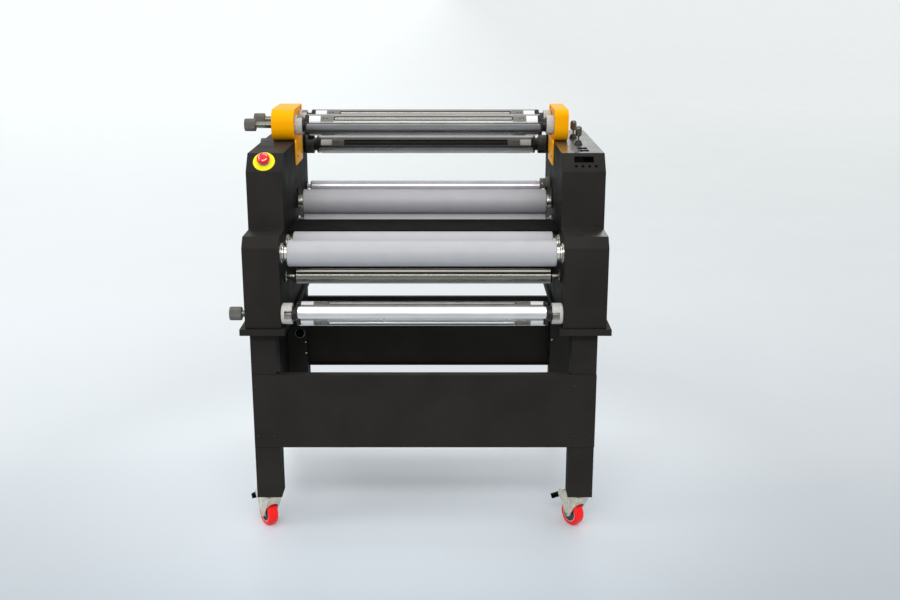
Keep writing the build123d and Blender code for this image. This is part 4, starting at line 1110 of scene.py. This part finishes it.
# ---- gripper shafts -----------------------------------------------------------------
Gripper = namedtuple("Gripper", "radius left right hub slot notch rails frames grips casting")
GRIPPERS = {
    # radius, left and right end from the rollers' middle, hub length; elevation of a slot and
    # of the hubs' notches in degrees; paints of plain bars, slotted leaves, grip bars and hubs
    # the rewind shaft takes the darker copies as painted shade, the lower supply shaft the lighter
    # ones as painted light
    "supply_shaft_front": Gripper(29.15, -330, 325, 24, 45, -75, "rail", "rail", "grip_bar", "hub"),
    "supply_shaft_rear": Gripper(28.65, -324, 324, 24, 48, -75, "rail", "rail", "grip_bar", "hub"),
    "rewind_shaft": Gripper(
        26.65, -321, 321, 27, 18, -60, "rail", "rail_painted_shade", "grip_bar_painted_shade", "hub_painted_shade"),
    "lower_supply_shaft": Gripper(
        31.15, -319, 319, 28, 80, -4, "rail_painted_light", "rail", "grip_bar_painted_light", "hub"),
}
RING_LENGTH, LABEL_LENGTH, BLOCK_LENGTH = 12, 32, 34
HUB_RADIUS = 27


def roller_middle():
    """The middle of the rollers along X."""
    return middle_of("front_roller_sleeve").x


def leaf_angles(shaft):
    """The angles of a shaft's three slotted leaves in its own place, degrees."""
    return [-shaft.slot + 120 * index for index in range(3)]


def shaft_leaves(name, shaft, place, paints):
    """A dark core, three slotted leaves with grip bars, and three plain bars between them."""
    left, right, radius = shaft.left, shaft.right, shaft.radius
    core = radius - 3.4
    shape = Shape()
    profile = [(0.0, left), (core - 1.0, left), (core, left + 1.0)]
    profile += [(core, right - 1.0), (core - 1.0, right), (0.0, right)]
    shape.turned(profile, place, paints["dark_steel"])
    slot_length = (right - left) - 2 * (RING_LENGTH + LABEL_LENGTH + BLOCK_LENGTH)
    leaf_half = math.degrees(14 / radius)
    bar_half = 60 - leaf_half - math.degrees(1.3 / radius)
    leaf_span = (left + RING_LENGTH, right - RING_LENGTH)
    radii = (core - 0.6, radius)
    leaves, cutters = Shape(), []
    for middle in leaf_angles(shaft):
        turn = Matrix.Rotation(math.radians(middle), 4, "Z")
        half_way = (0.0, 0.0, (left + right) / 2 * MM)
        local = place @ turn @ facing_frame(half_way, (1, 0, 0), (0, 0, 1))
        frames = paints[shaft.frames]
        leaves.curved_plate(place, leaf_span, middle, leaf_half, radii, frames, edge=0.9)
        cutter = Shape()
        cutter.plate(stadium(slot_length, 15), local, (radius - 5, radius + 5), None)
        cutters.append(cutter.as_object("cutter"))
        grip = stadium(slot_length - 9, 8.6)
        shape.plate(grip, local, (core - 2, radius - 0.9), paints[shaft.grips], 1.0)
        bar_span, bar_middle = (left + 4, right - 4), middle + 60
        rails = paints[shaft.rails]
        shape.curved_plate(place, bar_span, bar_middle, bar_half, radii, rails, 7, 1.4)
    shape.piece(name + "_body", name, "gripper_aluminium", name)
    leaf_piece = cut(leaves.as_object(name + "_leaves"), cutters)
    place_piece(leaf_piece, name, "gripper_aluminium")


def shaft_fittings(name, shaft, place, paints):
    """End rings, blank labels and end blocks of a gripper shaft."""
    rings, labels, blocks = Shape(), Shape(), Shape()
    radius = shaft.radius
    label_end = RING_LENGTH + LABEL_LENGTH
    block_end = label_end + BLOCK_LENGTH + 3

    def teeth(angle, reach):
        if reach < (radius - 4) * MM:
            return reach
        return reach - (1.2 * MM if math.cos(18 * angle) < -0.55 else 0.0)

    for end, inward in ((shaft.left, 1), (shaft.right, -1)):
        def span(start, stop):
            """Heights of two distances from this end."""
            return sorted((end + inward * start, end + inward * stop))

        low, high = span(-0.4, RING_LENGTH - 2)
        profile = [(radius - 6, low), (radius - 3.2, low), (radius - 0.7, low + 1.6)]
        profile += [(radius - 0.7, high - 1), (radius - 1.6, high), (radius - 6, high)]
        rings.turned(profile, place, paints["dark_steel"], 144, loop=True, ribs=teeth)
        for middle in leaf_angles(shaft):
            labels.curved_plate(place, span(RING_LENGTH + 0.5, label_end), middle, 19,
                                (radius - 2, radius + 0.12), paints["plate"], edge=0.25)
            blocks.curved_plate(place, span(label_end, block_end), middle, 24,
                                (radius - 5, radius + 0.15), paints["end_block"], 1.5, 0.6)
            angle = math.radians(middle)
            outward = Vector((math.cos(angle), math.sin(angle), 0.0))
            for share in (0.25, 0.52):
                along = end + inward * (label_end + share * BLOCK_LENGTH)
                spot = place @ ((outward * (radius + 0.05) + Vector((0.0, 0.0, along))) * MM)
                blocks.screw(spot, place.to_3x3() @ outward, 2.2, paints["screw"], 0.5)
    rings.piece(name + "_end_rings", name, "gripper_aluminium")
    labels.piece(name + "_blank_labels", name, "gripper_aluminium")
    blocks.piece(name + "_end_blocks", name, "gripper_aluminium")


def shaft_hubs(name, shaft, y, z, paints):
    """Ribbed cast hubs with a notch open towards the shaft, and their necks and spindle."""
    on_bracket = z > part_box("left_cover")[1].z
    gap = 0.6 - 4 if on_bracket else 0.6
    hub, radius = shaft.hub, HUB_RADIUS
    profile = [(0.0, 0.0), (radius - 6, 0.0), *arc_points((radius - 5, 5), 5, -70, 0, 5)]
    profile += [(radius, hub - 1.2), (radius - 1.2, hub), (radius - 5, hub)]
    profile += [(radius - 5.6, hub - 1.5), (0.0, hub - 1.5)]
    turn = Matrix.Rotation(math.radians(shaft.notch), 4, "Z")
    starts = []
    for label, (wall, outward) in zip(("left", "right"), WALLS):
        start = wall - outward * gap * MM
        starts.append(start / MM)
        place = facing_frame((start, y, z), (-outward, 0, 0), (0, -1, 0))
        shape = Shape()
        ribs = fluted(radius - 3, 0.22, 60)
        shape.turned(profile, place, paints[shaft.casting], 240, ribs=ribs)
        piece = shape.as_object(f"{name}_hub_{label}")
        low, high = Vector((2, -10.5, 9)) * MM, Vector((40, 10.5, 60)) * MM
        cut(piece, [cutter_block(low, high, place @ turn)])
        place_piece(piece, name, "gripper_aluminium")
    shape = Shape()
    axle = axle_frame(0.0, y, z)
    middle = roller_middle() / MM
    neck, spindle = 19, 6
    for start, end in (
        (starts[0] + hub - 2, middle + shaft.left + 1),
        (middle + shaft.right - 1, starts[1] - hub + 2),
    ):
        profile = [(0.0, start), (neck, start), (neck, end), (0.0, end)]
        shape.turned(profile, axle, paints["dark_steel"], 48)
    low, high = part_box(name)[0].x / MM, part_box(name)[1].x / MM
    profile = [(0.0, low), (spindle - 0.6, low), (spindle, low + 0.6)]
    profile += [(spindle, high - 0.6), (spindle - 0.6, high), (0.0, high)]
    shape.turned(profile, axle, paints["steel"], 32)
    shape.piece(name + "_spindle", name, "machined_steel")


def make_gripper_shaft(name, paints):
    """One gripper shaft with everything on it."""
    shaft = GRIPPERS[name]
    y, z = node_axis(name)
    place = axle_frame(roller_middle(), y, z)
    shaft_leaves(name, shaft, place, paints)
    shaft_fittings(name, shaft, place, paints)
    shaft_hubs(name, shaft, y, z, paints)


def make_knob(name, paints):
    """A knurled tension knob on its steel sleeve."""
    y, z = node_axis(name)
    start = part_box(name)[0].x
    radius, end = round_size(name)
    length = 31
    place = axle_frame(start, y, z)
    profile = [(0.0, 2.4), (7.0, 2.4), (7.6, 1.2), (8.6, 0.0), (radius - 2.6, 0.0)]
    profile += [(radius - 0.9, 0.5), (radius, 2.2), (radius, length - 2.2)]
    profile += [(radius - 0.9, length - 0.5), (radius - 2.6, length), (0.0, length)]
    shape = Shape()
    shape.turned(profile, place, paints["knob"], 180, ribs=fluted(radius - 1.6, 0.35, 45))
    shape.screw((start + 2.5 * MM, y, z), (-1, 0, 0), 5.0, paints["bright_screw"], 2.2)
    shape.piece(name + "_grip", name, "knob_grey", name)
    sleeve, inner = 9, 6.05
    profile = [(inner, length - 1), (sleeve, length - 1), (sleeve, length + 3)]
    profile += [(sleeve - 1.0, length + 3.6), (sleeve - 1.0, length + 5.0), (sleeve, length + 5.6)]
    profile += [(sleeve, end - 0.8), (sleeve - 0.8, end), (inner, end)]
    shape = Shape()
    shape.turned(profile, place, paints["knob_sleeve"], 48, loop=True)
    shape.piece(name + "_sleeve", name, "machined_steel")


# ---- controls -----------------------------------------------------------------------
def make_stop(paints):
    """The stop button: yellow disc, grey collar and red mushroom head."""
    place = panel_frame("e_stop_base")
    disc = [(8.4, -0.2), (28, -0.2), (28, 1.9), (27.4, 2.5), (17.0, 2.5), (16.6, 2.1)]
    disc += [(16.0, 2.1), (15.6, 2.5), (8.4, 2.5)]
    shape = Shape()
    shape.turned(disc, place, paints["stop_disc"], 72, loop=True)
    shape.piece("stop_disc", "stand", "stop_yellow", "e_stop_base")
    collar = [(8.4, 2.4), (14.6, 2.4), (14.6, 4.4), (13.8, 5.4), (12.6, 6.0), (9.2, 6.0)]
    collar += [(8.4, 5.4)]
    shape = Shape()
    shape.turned(collar, place, paints["stop_grey"], 60, loop=True)
    shape.piece("stop_collar", "stand", "stop_yellow")
    low = 11.5
    head = [(0, -8), (8, -8), (8, low - 0.4), (13.6, low - 0.4), (15.9, low + 0.5)]
    head += [(16.5, low + 2.2), (16.5, low + 4.6), (16.0, low + 6.6), (14.6, low + 8.6)]
    head += [(12.6, low + 9.9), (11.9, low + 9.9), (11.4, low + 9.4), (10.8, low + 9.4)]
    head += [(10.2, low + 10.4), (7.5, low + 11.4), (4.0, low + 11.9), (0, low + 12)]
    rim = [(9.4, low + 10.9), (11.0, low + 9.4)]
    shape = Shape()
    shape.turned(head, place, paints["stop_red"], 72)
    # three thin white arcs round the rim of the head
    for index in range(3):
        shape.arc_strip(place, 120 * index + 20, 78, rim, paints["stop_white_arc"])
    shape.piece("stop_head", "stop_button", "stop_red", "e_stop_button")


def make_display(paints):
    """The display window in its frame, with the screen behind the glass."""
    place = display_place()
    half_width, half_height = DISPLAY_HALF
    window = rectangle(half_width, half_height)
    outer, inner = rounded_outline(window, 0.0, 1.2), rounded_outline(window, 1.6, 2.0)
    shape = Shape()
    levels = ((outer, -2.5), (outer, 0.35), (inner, 0.5), (inner, -2.5))
    shape.rims(levels, place, paints["black"], loop=True)
    shape.plate(inner, place, (-2.5, -0.5), paints["glass"])
    left, right, height = 3 - half_width, -2, half_height - 3
    screen = [(left, -height), (right, -height), (right, height), (left, height)]
    shape.plate(screen, place, (-0.6, -0.42), paints["screen"])
    shape.piece("display", "stand", "black_plastic", "control_bezels")


def make_keys(paints):
    """The four domed push keys."""
    dome = [(0, -6), (3.5, -6), (3.5, 1.0), (3.2, 1.6), (2.2, 1.95), (1.2, 1.8), (0, 1.75)]
    for key in KEYS:
        shape = Shape()
        shape.turned(dome, panel_frame(key), paints["black"], 36)
        shape.piece(key + "_cap", key, "black_plastic", key)


def make_rocker(row, trims, paints):
    """A rocker switch; its frame goes to the trims."""
    node = f"rocker_switch_{row}"
    place = deck_frame(node)
    frame_outline = rectangle(12.5, 7.75)
    low = rounded_outline(frame_outline, 0.0, 2.0)
    high = rounded_outline(frame_outline, 0.5, 2.0)
    pocket = rounded_outline(rectangle(10.4, 5.9), 0.0, 0.6)
    levels = ((low, 0.0), (low, 0.7), (high, 1.2), (pocket, 1.2), (pocket, 0.0))
    trims.rims(levels, place, paints["black"], loop=True)
    side = [(-10, 0.6), (0, -4.5), (10, 0.6), (10, 2.2), (9.5, 2.6), (5, 2.0)]
    side += [(0, 1.6), (-5, 2.0), (-9.5, 2.6), (-10, 2.2)]
    upright = facing_frame(place.translation, (0, -1, 0))
    shape = Shape()
    shape.plate(side, upright, (-5.5, 5.5), paints["black"], 0.4)
    shape.piece(node + "_cap", node, "black_plastic", node)


def make_toggle(row, trims, paints):
    """A toggle lever; its collar goes to the trims."""
    node = f"toggle_lever_{row}"
    place = deck_frame(node)
    collar = [(6.0, 0.0), (11.5, 0.0), (11.5, 1.2), (10.4, 2.4), (9.0, 6.4), (7.6, 10.0)]
    collar += [(6.8, 10.9), (6.0, 10.9)]
    trims.turned(collar, place, paints["dark_steel"], 48, loop=True)
    stem = [(0, -2), (3.0, -2), (3.0, 11), (2.6, 14), (2.3, 19), (2.8, 22), (5.4, 22.8)]
    stem += [(7.8, 24.6), (8.7, 27.6), (9.0, 31.0), (9.0, 40.0), (8.7, 43.5), (7.8, 46.4)]
    stem += [(6.0, 48.6), (3.2, 49.8), (0, 50)]

    def grips(angle, reach):
        if reach < 8.5 * MM:
            return reach
        return reach - 0.35 * MM * (1 - abs(math.cos(6 * angle)))

    shape = Shape()
    shape.turned(stem, place, paints["lever"], 72, ribs=grips)
    shape.piece(node + "_arm", node, "lever_chrome", node)


def make_deck_controls(paints):
    """Rocker switches with their frames, toggle levers with their collars, the inlet."""
    trims = Shape()
    for row in ROWS:
        make_rocker(row, trims, paints)
        make_toggle(row, trims, paints)
    place = inlet_place()
    plate = rounded_outline(rectangle(19, 13), 0.0, 3)
    well = rounded_outline(rectangle(11, 8), 0.0, 3)
    levels = ((plate, 0.0), (plate, 2.0), (well, 2.0), (well, -15.0))
    trims.rims(levels, place, paints["black"])
    for x in (-5, 0, 5):
        low, high = Vector((x - 1, -2.5, -15)) * MM, Vector((x + 1, 2.5, -2)) * MM
        trims.block(low, high, paints["bright_screw"], 0.3 * MM, place)
    trims.piece("deck_trims", "stand", "black_plastic")


# ---- casters ------------------------------------------------------------------------
FORK_TOP = 96.0
ARM_IN, ARM_OUT = 17.0, 19.5
TRAIL, WHEEL_R = 22.0, 33.0
WHEEL_HALF = 14.0
FORK_SIDE = (                              # along the trail, height below the fork's top
    (-22, 1), (-21, 8), (14, 66), (17, 70), (22, 72), (27, 70.5),
    (31, 66), (46, 36), (58, 26), (64, 14), (60, 4), (42, 1),
)
FRONT_PEDAL = [                            # along the trail, height above the floor
    (50, 80.5), (54, 80), (75, 69.5), (93, 60), (89.5, 50.5),
    (92.5, 49), (98, 59), (98, 62.5), (60, 85), (52, 88),
]
REAR_PEDAL = [(50, 80.5), (54, 80), (79, 76), (82, 76), (82, 79), (80, 82), (60, 86.5), (52, 88)]


def caster_place(tag):
    """A caster's own frame: X along its trail, Y to its side, origin on the floor."""
    pin = Vector(JOINTS[f"caster_swivel_{tag}"]["pos_m"])
    axle = Vector(JOINTS[f"caster_roll_{tag}"]["pos_m"])
    trail = axle - pin
    trail.z = 0.0
    return facing_frame((pin.x, pin.y, 0.0), (0, 0, 1), trail)


def leading_edge(height):
    """How far along the trail the fork's leading edge is at a height, millimetres."""
    share = (FORK_TOP - 8 - height) / (FORK_TOP - 8 - 30)
    return -21.0 + 35.0 * max(share, 0.0)


def axle_place(place):
    """The wheel's axle in a caster's place, Z along it."""
    return place @ facing_frame((TRAIL * MM, 0, WHEEL_R * MM), (0, 1, 0))


def side_place(place):
    """A caster's side view: X along the trail, Y up."""
    return place @ facing_frame((0, 0, 0), (0, -1, 0))


def leading_wall(shape, place, paint):
    """The fork's leading wall between its arms, arched at its foot."""
    across, down, thick = 16, 8, 2.2
    crown, reach = 32, 36
    top = FORK_TOP - 2
    rings = []
    for column in range(across + 1):
        share = -1 + 2 * column / across
        arch = crown + reach * max(0.0, 1 - (share * 0.98) ** 2) ** 0.26
        heights = [top + (arch - top) * row / down for row in range(down + 1)]
        section = [(leading_edge(height), height) for height in heights]
        section += [(edge + thick, height) for edge, height in reversed(section)]
        side = share * (ARM_OUT - 0.3)
        rings.append([place @ (Vector((edge, side, height)) * MM) for edge, height in section])
    shape.rings(rings, paint)


def make_caster_fork(tag, place, paints):
    """Pressed fork: two arms, an arched leading wall, top plate, axle bolt and race."""
    steel, bright = paints["caster"], paints["bright_screw"]
    shape = Shape()
    side = [(along, FORK_TOP - drop) for along, drop in FORK_SIDE]
    for span in ((ARM_IN, ARM_OUT), (-ARM_OUT, -ARM_IN)):
        shape.plate(side, side_place(place), span, steel, 0.5)
    leading_wall(shape, place, steel)
    lid = place @ Matrix.Translation((TRAIL * 0.5 * MM, 0, 0))
    shape.plate(stadium(72, 2 * ARM_OUT), lid, (FORK_TOP - 5, FORK_TOP), steel, 1.4)
    top = FORK_TOP
    race = [(0, top), (20, top), (20, top + 1.0), (19, top + 1.5), (6, top + 1.5)]
    race += [(6, top + 18), (0, top + 18)]
    shape.turned(race, place, bright, 40)
    bolt = [(0, -22.4), (3.9, -22.4), (3.9, 22.4), (0, 22.4)]
    shape.turned(bolt, axle_place(place), bright, 24)
    for direction in (-1, 1):
        spot = Vector((TRAIL, direction * ARM_OUT, WHEEL_R)) * MM
        head = place @ facing_frame(spot, (0, direction, 0))
        shape.plate(arc_points((0, 0), 5.6, 0, 300, 5), head, (0.0, 2.9), bright, 0.5)
    body = f"caster_fork_{tag}"
    shape.piece(f"caster_{tag}_fork", body, "caster_steel", body)


def make_caster_wheel(tag, place, paints):
    """A red tread on a grey hub with a light ring, recessed faces and bearing cups."""
    bright, grey = paints["bright_screw"], paints["wheel_hub"]
    body = f"caster_wheel_{tag}"
    axle = axle_place(place)
    half = WHEEL_HALF
    flank = [(24, -half), (29.0, -half), (30.6, -half + 0.7), (32.6, -half + 3.4)]
    flank += [(WHEEL_R, -half + 5)]
    shape = Shape()
    shape.turned(flank + mirrored(flank, 0.0), axle, paints["tread"], 96, loop=True)
    shape.piece(f"caster_{tag}_tread", body, "caster_wheel", body)
    face = half - 1.2
    disc = [(4.05, -face), (8.5, -face), (9.0, -face + 2.4), (9.4, -face + 4.0)]
    disc += [(20.2, -face + 4.0), (21.0, -face + 0.2), (21.6, -face), (24, -face)]
    shape = Shape()
    shape.turned(disc + mirrored(disc, 0.0), axle, grey, 72, loop=True)
    ring = [(21.4, -0.5), (24.0, -0.5), (24.0, 0.35), (23.4, 0.6), (22.0, 0.6), (21.4, 0.35)]
    cup = [(4.2, -1), (8.3, -1), (8.3, 0.4), (7.6, 0.8), (4.2, 0.8)]
    for side in (-1, 1):
        seat = axle @ Matrix.Translation((0, 0, side * (face - 0.1) * MM))
        for profile, segments in ((ring, 72), (cup, 40)):
            profile = [(radius, height * side) for radius, height in profile]
            shape.turned(profile, seat, bright, segments, loop=True)
    corner = Vector((20.6, 1.1, face - 1.6)) * MM
    for spoke in range(6):
        turn = Matrix.Rotation(math.radians(60 * spoke), 4, "Z")
        shape.block((9 * MM, -corner.y, -corner.z), corner, grey, 0.5 * MM, axle @ turn)
    shape.piece(f"caster_{tag}_hub", body, "caster_wheel")


def make_caster_pedal(tag, place, paints):
    """The black brake pedal, a lipped plate."""
    outline = FRONT_PEDAL if tag.startswith("front") else REAR_PEDAL
    body = f"caster_pedal_{tag}"
    shape = Shape()
    shape.plate(outline, side_place(place), (-16.4, 16.4), paints["black"], 0.9)
    shape.piece(f"caster_{tag}_pedal", body, "pedal_black", body)


# ---- inner works, seen only with the covers off ---------------------------------------
def paint_inner_works(paints):
    """Better materials on the CAD nodes that stay as they are."""
    kept = {
        "lower_roller_gear": "gear",
        "upper_roller_gear": "gear",
        "drive_pinion": "gear",
        "drive_motor": "motor",
        "lift_cylinders": "rail",
    }
    for node, paint in kept.items():
        for slot in frame["nodes"][node].material_slots:
            slot.material = paints[paint]


# ---- the whole machine --------------------------------------------------------------
def build():
    """Everything in order."""
    bpy.context.scene.view_settings.view_transform = "Standard"
    make_camera()
    make_world()
    paints = make_paints()
    make_floor(paints["floor"])
    for name, settings in LIGHTS.items():
        softbox(name, *settings)
    make_frame(paints)
    make_covers(paints)
    make_cover_screws(paints)
    make_frame_fasteners(paints)
    make_leg_fittings(paints)
    make_roller("front_roller", "front_roller", paints)
    make_roller("second_roller", "second_roller", paints)
    make_roller("lower_main", "lower_main_roller", paints)
    make_roller("upper_main", "upper_main_roller", paints)
    # each idler in its own copy of the steel, a painted reflection
    make_idler("lower_idler", (-331, 335), paints["polished"])
    make_idler("rear_idler", (-345, 344), paints["polished_painted_light_reflection"])
    make_bearings(paints)
    make_clamp(paints)
    make_lift(paints)
    for name in GRIPPERS:
        make_gripper_shaft(name, paints)
        make_knob(name.replace("shaft", "knob"), paints)
    make_stop(paints)
    make_display(paints)
    make_keys(paints)
    make_deck_controls(paints)
    for tag in ("front_left", "front_right", "rear_left", "rear_right"):
        place = caster_place(tag)
        make_caster_fork(tag, place, paints)
        make_caster_wheel(tag, place, paints)
        make_caster_pedal(tag, place, paints)
    paint_inner_works(paints)


build()
